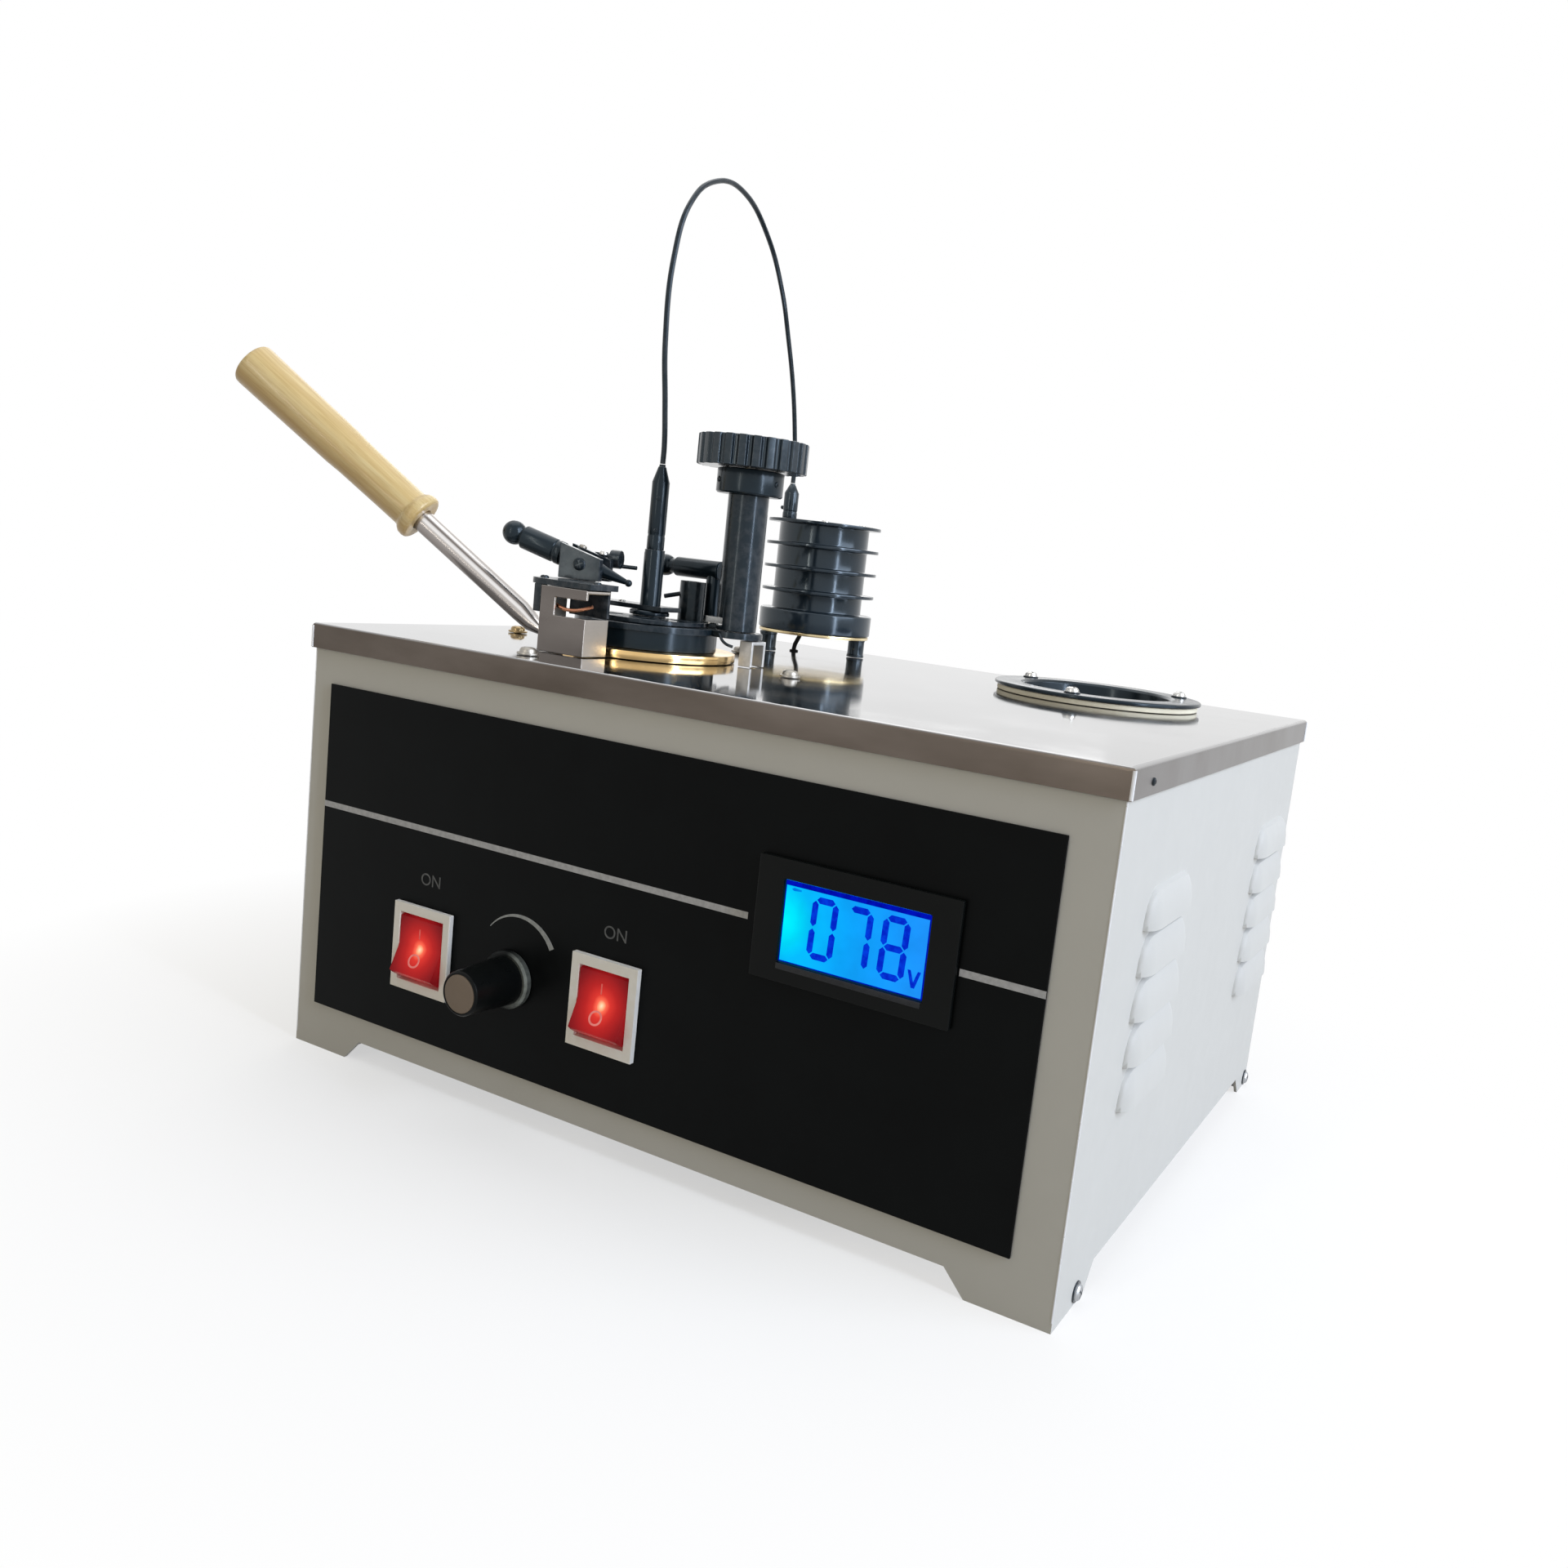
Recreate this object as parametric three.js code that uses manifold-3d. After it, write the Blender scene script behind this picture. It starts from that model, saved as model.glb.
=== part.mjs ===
import * as THREE from 'three';
import { mergeVertices } from 'three/addons/utils/BufferGeometryUtils.js';
import Module from 'manifold-3d';

const wasm = await Module();
wasm.setup();

// A closed-cup flash point tester. Sizes are in millimetres, x runs to the right along the front,
// y to the back and z up. The pieces on the cover are placed from the cover's top face.

// Clearances
const seat = 0.3; // between pieces that rest on each other
const running = 0.4; // round a piece that turns or slides
const overrun = 1; // how far a cut runs past what it cuts
const weldStep = 1e-3; // vertices closer than this are one vertex

// Numbers of flats on round pieces
const wideSides = 40;
const roundSides = 24;
const smallSides = 12;
const thinSides = 8;

// Case
const caseWidth = 390;
const caseDepth = 306;
const caseHeight = 200.6;
const sheet = 1.5;
const coverSheet = 1.2;
const coverSkirt = 11.4;
const rearReturn = 12;
const footHeight = 9.7;
const footSlope = 9;
const frontFootLength = 35;
const rearFootLength = 20;

// Louvers in the side walls
const louverHeight = 15;
const louverDepth = 4.5;
const louverSheet = 1;
const louverPitch = 17.25;
const louverRows = 5;
const louverLowest = 68;
const louverSteps = 4;
const louverEndRun = 10;
const louverEndSteps = 4;
const louverLapShare = 0.5;
const louverFrontStart = -109.7;
const louverFrontLength = 58;
const louverRearStart = 75.7;
const louverRearLength = 62;

// Front panel and what it carries
const panelThick = 1;
const panelLeftInset = 14;
const panelRightInset = 19.5;
const panelLeft = panelLeftInset - caseWidth / 2;
const panelRight = caseWidth / 2 - panelRightInset;
const panelLow = 22;
const panelTopDrop = 26.5;
const panelHigh = caseHeight - panelTopDrop;
const switchWidth = 33.8;
const switchHeight = 39.5;
const switchRim = 2.5;
const rockerWidth = 25;
const rockerReach = 15;
const rockerEndForward = 8.5;
const rockerMiddleForward = 6;
const rockerBack = 3;
const rockerTilt = 12; // degrees from level at rest, the upper half pressed in
const rockerPinRadius = 1.2;
const rockerPinLength = 1;
const rockerArcSteps = 5;
const switchWall = 1.9;
const switchBodyDepth = 24;
const stirrerSwitchInset = 68.7;
const stirrerSwitchX = panelLeft + stirrerSwitchInset;
const stirrerSwitchZ = 64.3;
const powerSwitchInset = 171.5;
const powerSwitchX = panelLeft + powerSwitchInset;
const powerSwitchZ = 65.7;
const displayInset = 75;
const displayDrop = 53.3;
const displayX = panelRight - displayInset;
const displayZ = panelHigh - displayDrop;
const displayWidth = 84.3;
const displayHeight = 47.5;
const displayRim = 2.4;
const windowWidth = 61.2;
const windowHeight = 32;
const windowDepth = 3.4;
const lensThick = 1.5;
const displayWall = 3;
const displayBodyDepth = 26;
const knobInset = 119.5;
const knobX = panelLeft + knobInset;
const knobZ = 64;
const knobLength = 29;
const knobBaseRadius = 12;
const knobBaseThick = 2.5;
const knobRadius = 10.6;
const knobEndRadius = 9.9;
const knobCapRadius = 8.8;
const knobCapThick = 1.2;
const potShaftRadius = 3;
const potShaftLength = 22;
const potRadius = 12.5;
const potDepth = 16;
const potBushRadius = 4.6;

// Rear panel and the fittings inside
const inletInset = 75;
const inletX = caseWidth / 2 - inletInset;
const inletZ = 60;
const inletWidth = 28;
const inletHeight = 20;
const inletDepth = 24;
const inletRim = 3;
const inletLip = 2;
const inletSocketDepth = 14;
const inletSocketWall = 3;
const fuseApart = 38;
const fuseX = inletX - fuseApart;
const fuseRadius = 6;
const fuseCapRadius = 8;
const fuseCapThick = 7;
const fuseDepth = 26;
const ventWidth = 60;
const ventHeight = 3;
const ventPitch = 9;
const ventCount = 6;
const ventX = -80;
const ventLow = 90;
const boardWidth = 120;
const boardDepth = 80;
const boardThick = 1.6;
const boardSideInset = 105;
const boardRearInset = 83;
const boardX = caseWidth / 2 - boardSideInset;
const boardY = caseDepth / 2 - boardRearInset;
const standoff = 8;
const standoffRadius = 3;
const standoffInset = 6;
const transformerSize = 38;
const heatSinkThick = 12;
const heatSinkHeight = 30;

// Heating well under the cover
const wellSideInset = 116;
const wellFrontInset = 97.5;
const wellX = wellSideInset - caseWidth / 2;
const wellY = wellFrontInset - caseDepth / 2;
const wellHoleRadius = 31;
const bathRadius = 44;
const bathBoreRadius = 30;
const bathDepth = 50;
const bathFloor = 12;
const heaterRadius = 40;
const heaterThick = 8;
const insulationRadius = 68;
const insulationFloor = 20;
const insulationTopDrop = 6;
const shellWall = 1.5;
const shellFlangeRadius = 88;
const shellFlangeThick = 2;
const stoveScrewCircle = 82;
const stoveScrewCount = 4;
const screwHeadRadius = 3.6;
const screwHeadHeight = 2.3;
const screwCrownShare = 0.7;
const washerRadius = 4.7;
const washerThick = 1;
const screwRadius = 2;
const screwLength = 8;

// Cup and its handle
const cupBoreRadius = 25.4;
const cupWall = 1.6;
const cupDepth = 55.9;
const cupFloor = 2.2;
const flangeRadius = 42.8;
const flangeThick = 3.9;
const neckRadius = 28.5;
const neckHeight = 8.5;
const handleAzimuth = 207; // degrees round the cup from +x
const handleSlope = 36.7; // degrees above level
const handleStartReach = 54.8;
const handleStartRise = 8.6;
const handleTubeRadius = 5.4;
const tangWidth = 15;
const tangThick = 3;
const tangInner = 35.5;
const gripStart = 72;
const gripLength = 107;
const gripRingRadius = 12;
const gripRingLength = 6.5;
const gripNeckRadius = 9.7;
const gripWaistRadius = 10;
const gripEndRadius = 10.9;
const gripRound = 1.8;
const gripWaistShare = 0.4;
const gripSwellShare = 0.8;
const gripBoreDepth = 30;

// Lid and shutter
const skirtRadius = 33.3;
const lidFit = 0.5;
const lidDiscRadius = 35;
const lidDiscThick = 3;
const lidBossRadius = 8;
const stirrerHoleRadius = 3;
const shutterThick = 2;
const shutterRadius = 29;
const shutterFrom = -170; // degrees
const shutterTo = 42; // degrees
const portCircle = 18;
const portLength = 10;
const portHalfAngle = 11; // degrees
const portAzimuths = [-150, -90, -30];
const tailRadius = 32.8;
const tailHalfAngle = 8; // degrees
const tailSlotInner = 24.6;
const tailSlotOuter = 31.6;
const tailSlotHalfWidth = 2.2;

// Shutter column beside the lid
const columnX = 40;
const columnY = 15.5;
const columnRadius = 9.6;
const columnBoreRadius = 7.4;
const columnTop = 80;
const columnCapThick = 6;
const earRadius = 13;
const rodRadius = 3;
const crankReach = 16;
const crankWidth = 7;
const crankThick = 3;
const crankHubRadius = 6;
const crankPinRadius = 1.5;
const crankRest = -25; // degrees from the line to the lid's axis
const crankTravel = 50; // degrees
const collarRadius = 15.7;
const collarWall = 1.6;
const collarHeight = 11.4;
const springRadius = 11;
const springBore = 5.5;
const turnKnobRadius = 25.9;
const turnKnobHeight = 14;
const turnKnobTeeth = 24;
const toothDepth = 1.6;
const toothShares = [[0.08, 0], [0.2, 1], [0.72, 1], [0.84, 0]];

// Stirrer and its drive
const bearingFlangeRadius = 9.5;
const bearingFlangeThick = 2.2;
const bearingRadius = 4.9;
const bearingTop = 50;
const stirrerRadius = 2.5;
const couplingRadius = 4.15;
const couplingTop = 82;
const couplingConeHeight = 8;
const couplingTipRadius = 1.5;
const couplingBoreDepth = 10;
const stirrerBottom = -38;
const lowerBladeReach = 19;
const upperBladeReach = 10;
const bladeHeight = 8;
const bladeThick = 1.2;
const bladePitch = 40; // degrees
const lowerBladeZ = -32;
const upperBladeZ = -6;
const bridgeThick = 2.2;
const bridgeLeft = -31;
const bridgeRight = 12;
const bridgeFront = -7;
const bridgeBack = 9;

// Thermometer collar on the lid
const thermometerReach = 22;
const thermometerAzimuth = 63; // degrees
const thermometerRadius = 6.2;
const thermometerBore = 3.5;
const thermometerTop = 36.8;
const clampPinRadius = 1.1;
const clampPinLength = 8;
const clampPinDrop = 5;
const clampPinSeat = 2;
const clampPinAzimuth = 25; // degrees round from the left
const clampPinTilt = 15; // degrees below level

// Flame lamp, its stand and the pilot lamp
const lampX = -20;
const lampY = -25;
const lampZ = 39.7;
const lampAzimuth = 19.3; // degrees, the way the nozzle points
const lampSlope = 16.7; // degrees below level at rest
const lampHubRadius = 4.2;
const lampBarrelRadius = 5.6;
const lampBarrelStart = 12;
const lampBarrelEnd = 33;
const lampNeckRadius = 3.8;
const lampBeadRadius = 5.7;
const lampBeadCentre = 38;
const nozzleStart = 6;
const nozzleRootRadius = 3.6;
const nozzleEnd = 20.5;
const nozzleTipRadius = 1.2;
const nozzleBallRadius = 1.7;
const trunnionRadius = 1.8;
const trunnionReach = 7.2;
const beadSteps = 6;
const blockHalfLength = 10;
const blockHalfWidth = 9;
const blockRise = 5.9;
const blockFloor = 1.5;
const blockSlotHalfWidth = 4.9;
const blockNoseStart = 2;
const blockNotchStart = -1.5;
const blockMouthStart = 7.2;
const standPostThick = 5;
const standPostWidth = 14;
const latchThick = 2.6;
const latchLeft = -26;
const latchRight = 13;
const latchFront = -60;
const latchBack = -41;
const latchTongueBack = 12;
const latchEndRadius = 8;
const latchSkirtLeft = -13;
const latchSkirtRight = 9;
const latchSkirtThick = 1.6;
const latchSkirtLow = 17.2;
const valveRadius = 2.2;
const valveHeight = 1.8;
const valveStemRadius = 1.2;
const valveStemLength = 4;
const valveAhead = 5.6;
const valveSideInset = 2;
const jetSide = 14;
const jetZ = 43.4;
const jetRadius = 2.4;
const jetLength = 7;
const jetBeadRadius = 4.4;
const jetBeadLength = 5;
const jetTubeRadius = 1;
const jetTubeLength = 8;
const jetTubeDrop = 3;
const jetBossWidth = 5;
const pilotX = 15;
const pilotY = 30;
const pilotPostRadius = 4;
const pilotEarRadius = 6;
const pilotZ = 43;
const pilotRadius = 4.8;
const pilotRight = 19;
const pilotLeft = -8;
const pilotBeadRadius = 5.4;
const pilotNeckRadius = 3.6;
const pilotNeckLength = 3;

// Clamp brackets on the cover
const bracketSheet = 1.6;
const bracketLeft = -14.7;
const bracketRight = 11.5;
const bracketFront = -60.5;
const bracketBack = -44.2;
const bracketHeight = 29.5;
const bracketStep = 16.9;
const bracketSlotLeft = -6.5;
const bracketSlotTop = 25;
const sideBracketLeft = 45.4;
const sideBracketWidth = 7;
const sideBracketFront = 12;
const sideBracketDepth = 12;
const sideBracketHeight = 12.4;

// Stirring motor at the back of the cover
const motorAcross = 6;
const motorRearInset = 61;
const motorX = wellX + motorAcross;
const motorY = caseDepth / 2 - motorRearInset;
const legCircle = 27;
const legAzimuth = 50; // degrees
const legRadius = 5;
const legHeight = 11;
const motorPlateRadius = 31.4;
const motorPlateThick = 1.6;
const motorRadius = 25.5;
const motorFlangeRadius = 32;
const motorFlangeHeight = 11.6;
const finThick = 1.8;
const finPitch = 12.8;
const finCount = 4;
const firstFin = 22.2;
const spindleX = -18.2;
const spindleY = -10;
const spindleRadius = 2;
const spindleInside = 12;
const spindleOutside = 10;
const ferruleRadius = 4.1;
const ferruleHeight = 14.6;
const ferruleConeHeight = 5;
const setScrewRadius = 1.1;
const setScrewLength = 2;
const setScrewRise = 6;
const leadRadius = 1.3;
const leadBend = 3;
const leadX = -9;
const leadInside = 12;
const leadSteps = 14;
const leadHoleRadius = 1.8;

// Flexible shaft from the motor to the stirrer, its route as shares of the span between the
// two axes and of the rise above the stirrer's coupling
const shaftRadius = 1.3;
const shaftRise = 137.5;
const shaftSteps = 44;
const shaftEndRun = 8;
const shaftRouteShares = [
  [-0.018, 0.19], [-0.052, 0.4], [-0.045, 0.67], [0.03, 0.87], [0.19, 0.985],
  [0.38, 1], [0.58, 0.905], [0.735, 0.745], [0.83, 0.58], [0.915, 0.4], [0.97, 0.23],
];

// Rest well for a hot cup, at the right of the cover
const restSideInset = 92.5;
const restRearInset = 71;
const restX = caseWidth / 2 - restSideInset;
const restY = caseDepth / 2 - restRearInset;
const restFlangeRadius = 52;
const restFlangeThick = 1.9;
const restBowlRadius = 39;
const restBowlWall = 1.5;
const restBowlDepth = 31;
const gasketRadius = 50.5;
const gasketThick = 2.4;

// Values that follow from the sizes above
const degree = Math.PI / 180;
const shellHalfWidth = caseWidth / 2 - coverSheet - seat;
const shellHalfDepth = caseDepth / 2 - coverSheet - seat;
const shellTop = caseHeight - coverSheet - seat;
const innerHalfWidth = shellHalfWidth - sheet;
const innerHalfDepth = shellHalfDepth - sheet;
const baseTop = footHeight + seat + sheet;
const panelBack = -shellHalfDepth - seat;
const panelFace = panelBack - panelThick;
const underCover = -coverSheet - seat;
const flangeTop = seat + flangeThick;
const cupRim = flangeTop + neckHeight;
const lidDiscLow = cupRim + seat;
const lidDiscTop = lidDiscLow + lidDiscThick;
const shutterLow = lidDiscTop + seat;
const shutterTop = shutterLow + shutterThick;
const lidBossTop = shutterTop + seat;
const bearingLow = lidBossTop + seat;
const crankLow = shutterTop + running;
const crankTop = crankLow + crankThick;
const collarLow = columnTop + seat;
const turnKnobLow = collarLow + collarHeight + seat;
const latchLow = bracketHeight + seat;
const blockLow = latchLow + latchThick + seat;
const blockCrown = lampZ + blockRise / Math.cos(lampSlope * degree);
const valveSeat = blockCrown - (valveAhead - valveRadius) * Math.tan(lampSlope * degree);
const motorLow = legHeight + seat + motorPlateThick + seat;
const motorTop = motorLow + firstFin + (finCount - 1) * finPitch + finThick / 2;
const ferruleLow = motorTop + seat;
const ferruleTop = ferruleLow + ferruleHeight + ferruleConeHeight;
const columnReach = Math.hypot(columnX, columnY);
const columnAzimuth = Math.atan2(columnY, columnX) / degree;
const tailAzimuth = pinAzimuth(crankRest);
const shutterTravel = tailAzimuth - pinAzimuth(crankRest + crankTravel);

// The direction, seen from the lid's axis, of the crank pin at a crank angle.
function pinAzimuth(crankAngle) {
  const across = crankReach * Math.sin(crankAngle * degree);
  const along = columnReach - crankReach * Math.cos(crankAngle * degree);
  return columnAzimuth - Math.atan2(across, along) / degree;
}

// Joining and cutting closed shapes

// Takes any closed geometry and returns it as a solid with its faces turned outwards.
function solid(geometry) {
  const plain = geometry.clone();
  plain.deleteAttribute('normal');
  plain.deleteAttribute('uv');
  const merged = mergeVertices(plain, weldStep);
  const points = merged.attributes.position.array;
  const corners = [];
  let volume = 0;
  for (let i = 0; i < merged.index.count; i += 3) {
    const [a, b, c] = [0, 1, 2].map((k) => merged.index.getX(i + k));
    if (a === b || b === c || c === a) continue;
    corners.push(a, b, c);
    const [p, q, r] = [a, b, c].map((k) => new THREE.Vector3().fromArray(points, k * 3));
    volume += p.dot(q.cross(r));
  }
  const triVerts = Uint32Array.from(volume < 0 ? corners.reverse() : corners);
  const vertProperties = Float32Array.from(points);
  return new wasm.Manifold(new wasm.Mesh({ numProp: 3, vertProperties, triVerts }));
}

function geometryOf(manifold) {
  const { vertProperties, triVerts } = manifold.getMesh();
  const geometry = new THREE.BufferGeometry();
  geometry.setAttribute('position', new THREE.BufferAttribute(vertProperties, 3));
  geometry.setIndex(new THREE.BufferAttribute(triVerts, 1));
  return geometry;
}

function join(...shapes) {
  return geometryOf(shapes.map(solid).reduce((whole, next) => whole.add(next)));
}

function cut(shape, ...tools) {
  return geometryOf(tools.map(solid).reduce((whole, tool) => whole.subtract(tool), solid(shape)));
}

function keep(shape, zone) {
  return geometryOf(solid(shape).intersect(solid(zone)));
}

// Basic shapes, all standing on z

function block(x0, x1, y0, y1, z0, z1) {
  const geometry = new THREE.BoxGeometry(x1 - x0, y1 - y0, z1 - z0);
  return geometry.translate((x0 + x1) / 2, (y0 + y1) / 2, (z0 + z1) / 2);
}

function rod(radius, z0, z1, sides = roundSides, endRadius = radius) {
  const geometry = new THREE.CylinderGeometry(endRadius, radius, z1 - z0, sides);
  return geometry.rotateX(Math.PI / 2).translate(0, 0, (z0 + z1) / 2);
}

// A turned shape from [radius, z] points, closed on the axis or on itself.
function turned(profile, sides = roundSides) {
  const points = profile.map(([radius, z]) => new THREE.Vector2(radius, z));
  return new THREE.LatheGeometry(points, sides).rotateX(Math.PI / 2);
}

function ring(inner, outer, z0, z1, sides = roundSides) {
  return turned([[inner, z0], [outer, z0], [outer, z1], [inner, z1], [inner, z0]], sides);
}

// A plate with the outline of the given x, y points.
function plate(outline, z0, z1) {
  const shape = new THREE.Shape(outline.map(([x, y]) => new THREE.Vector2(x, y)));
  const options = { depth: z1 - z0, bevelEnabled: false };
  return new THREE.ExtrudeGeometry(shape, options).translate(0, 0, z0);
}

function polar(radius, azimuth) {
  return [radius * Math.cos(azimuth * degree), radius * Math.sin(azimuth * degree)];
}

// Part of a flat ring between two directions, in degrees.
function sector(inner, outer, from, to, z0, z1) {
  const steps = Math.max(1, Math.ceil(Math.abs(to - from) / (360 / wideSides)));
  const turn = (k) => from + ((to - from) * k) / steps;
  const outline = [];
  for (let k = 0; k <= steps; k += 1) outline.push(polar(outer, turn(k)));
  for (let k = steps; k >= 0; k -= 1) outline.push(polar(inner, turn(k)));
  return plate(outline, z0, z1);
}

function tubeAlong(points, radius, steps, sides = thinSides) {
  const corners = [];
  for (let k = 0; k < sides; k += 1) corners.push(new THREE.Vector2(...polar(radius, (360 * k) / sides)));
  const path = new THREE.CatmullRomCurve3(points, false, 'centripetal');
  const options = { steps, bevelEnabled: false, extrudePath: path };
  return new THREE.ExtrudeGeometry(new THREE.Shape(corners), options);
}

function moved(geometry, x, y, z = 0) {
  return geometry.clone().translate(x, y, z);
}

// Lays a shape that stands on z down, so that its z runs to the front.
function facingFront(geometry) {
  return geometry.clone().rotateX(Math.PI / 2);
}

// Lays a shape that stands on z down, so that its z runs along x.
function alongX(geometry) {
  return geometry.clone().rotateY(Math.PI / 2);
}

function spun(geometry, azimuth) {
  return geometry.clone().rotateZ(azimuth * degree);
}

function add(group, name, geometry, finish) {
  const [color, roughness, metalness] = finish;
  const material = new THREE.MeshStandardMaterial({ color, roughness, metalness });
  const mesh = new THREE.Mesh(geometry, material);
  mesh.name = name;
  group.add(mesh);
  return mesh;
}

// Finishes: colour, roughness, metalness
const greyPaint = [0xcfd2d0, 0.5, 0];
const stainless = [0xc9cacb, 0.25, 1];
const blackPanel = [0x0e1011, 0.45, 0];
const blackPlastic = [0x101112, 0.4, 0];
const blackened = [0x23282c, 0.42, 0.6];
const blackPaint = [0x1d2327, 0.35, 0.3];
const ivoryPlastic = [0xcdc6ba, 0.5, 0];
const redPlastic = [0xc61d22, 0.25, 0];
const blueGlass = [0x39b4ff, 0.1, 0];
const tanCap = [0x7d7064, 0.45, 0.2];
const brass = [0xd9a441, 0.28, 1];
const castIron = [0x3a3a3b, 0.8, 0.6];
const galvanised = [0xa9adb0, 0.5, 0.8];
const ceramic = [0xe7e1d2, 0.9, 0];
const wood = [0xdcb978, 0.35, 0];
const greenBoard = [0x1f5a38, 0.6, 0];
const springSteel = [0x8b8e92, 0.35, 1];

// Case, panels and what is inside

function footNotch(halfWidth, from, to, alongDepth) {
  const outline = [
    [from, -overrun], [from, 0], [from + footSlope, footHeight],
    [to - footSlope, footHeight], [to, 0], [to, -overrun],
  ];
  const slab = plate(outline, -halfWidth - overrun, halfWidth + overrun).rotateX(Math.PI / 2);
  return alongDepth ? slab.rotateZ(Math.PI / 2) : slab;
}

function hull(points) {
  return geometryOf(wasm.Manifold.hull(points));
}

// One louver's hood, or the hollow in it, on a wall whose face is at x 0. Its ends round down to
// the wall, and its lower edge is open.
function louver(start, end, depth, height, low, inward) {
  const through = [];
  const proud = [];
  for (let k = 0; k <= louverEndSteps; k += 1) {
    const turn = ((90 * k) / louverEndSteps) * degree;
    const inset = louverEndRun * (1 - Math.cos(turn));
    const share = Math.sin(turn);
    for (const y of [start + inset, end - inset]) {
      through.push([-inward, y, 0], [-inward, y, height * share]);
      through.push([0, y, height * share], [depth * share * louverLapShare, y, 0]);
      proud.push([0, y, -low], [depth * share, y, -low]);
      for (let step = 0; step <= louverSteps; step += 1) {
        const rise = ((90 * step) / louverSteps) * degree;
        proud.push([depth * share * Math.cos(rise), y, height * share * Math.sin(rise)]);
      }
    }
  }
  return join(hull(through), hull(proud));
}

// The hoods of one side wall, or the hollows in them, in the plane of that wall.
function louvers(side, hollow) {
  const shapes = [];
  const columns = [[louverFrontStart, louverFrontLength], [louverRearStart, louverRearLength]];
  for (const [start, length] of columns) {
    for (let row = 0; row < louverRows; row += 1) {
      const hood = hollow
        ? louver(start + louverSheet, start + length - louverSheet, louverDepth - louverSheet,
          louverHeight - louverSheet, overrun, sheet + overrun)
        : louver(start, start + length, louverDepth, louverHeight, 0, sheet / 2);
      if (side < 0) hood.scale(-1, 1, 1);
      shapes.push(moved(hood, side * shellHalfWidth, 0, louverLowest + row * louverPitch));
    }
  }
  return shapes;
}

function opening(width, height, x, z) {
  const front = -shellHalfDepth - seat - panelThick - overrun;
  const back = -innerHalfDepth + overrun;
  return block(x - width / 2, x + width / 2, front, back, z - height / 2, z + height / 2);
}

const switchBodyWidth = rockerWidth + 2 * running + 2 * switchWall;
const switchBodyHeight = 2 * (rockerReach + running + switchWall);
const displayBodyWidth = windowWidth + 2 * displayWall;
const displayBodyHeight = windowHeight + 2 * displayWall;

function frontOpenings() {
  const bush = facingFront(rod(potBushRadius + seat, shellHalfDepth - sheet - overrun,
    shellHalfDepth + seat + panelThick + overrun, smallSides));
  return [
    opening(switchBodyWidth + 2 * seat, switchBodyHeight + 2 * seat, stirrerSwitchX, stirrerSwitchZ),
    opening(switchBodyWidth + 2 * seat, switchBodyHeight + 2 * seat, powerSwitchX, powerSwitchZ),
    opening(displayBodyWidth + 2 * seat, displayBodyHeight + 2 * seat, displayX, displayZ),
    moved(bush, knobX, 0, knobZ),
  ];
}

// The walls turn inwards at the four feet, and the tester stands on these lips.
function footLips() {
  const lips = [];
  for (const sideX of [-1, 1]) {
    for (const sideY of [-1, 1]) {
      const length = (sideY < 0 ? frontFootLength : rearFootLength) - footSlope;
      const corner = block(-shellHalfWidth + sheet / 2, -shellHalfWidth + frontFootLength - footSlope,
        -shellHalfDepth + sheet / 2, -shellHalfDepth + length, 0, sheet);
      lips.push(corner.scale(-sideX, -sideY, 1));
    }
  }
  return lips;
}

function buildCase(group) {
  const outside = block(-shellHalfWidth, shellHalfWidth, -shellHalfDepth, shellHalfDepth, 0, shellTop);
  const inside = block(-innerHalfWidth, innerHalfWidth, -innerHalfDepth, innerHalfDepth, -overrun,
    shellTop + overrun);
  const rearWindow = block(-shellHalfWidth + rearReturn, shellHalfWidth - rearReturn,
    innerHalfDepth - overrun, shellHalfDepth + overrun, baseTop + rearReturn, shellTop - rearReturn);
  const frontNotch = footNotch(shellHalfDepth, -caseWidth / 2 + frontFootLength,
    caseWidth / 2 - frontFootLength, false);
  const sideNotch = footNotch(shellHalfWidth, -caseDepth / 2 + frontFootLength,
    caseDepth / 2 - rearFootLength, true);
  const walls = cut(outside, inside, rearWindow, frontNotch, sideNotch, ...frontOpenings());
  const hooded = join(walls, ...louvers(1, false), ...louvers(-1, false));
  const hollowed = cut(hooded, ...louvers(1, true), ...louvers(-1, true));
  add(group, 'case_shell', join(hollowed, ...footLips()), greyPaint);

  const floorHalfWidth = innerHalfWidth - seat;
  const floorHalfDepth = innerHalfDepth - seat;
  const floor = block(-floorHalfWidth, floorHalfWidth, -floorHalfDepth, floorHalfDepth,
    footHeight + seat, baseTop);
  add(group, 'base_plate', floor, galvanised);
  buildRearPanel(group, floorHalfWidth, floorHalfDepth);
  buildCover(group);
}

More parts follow.
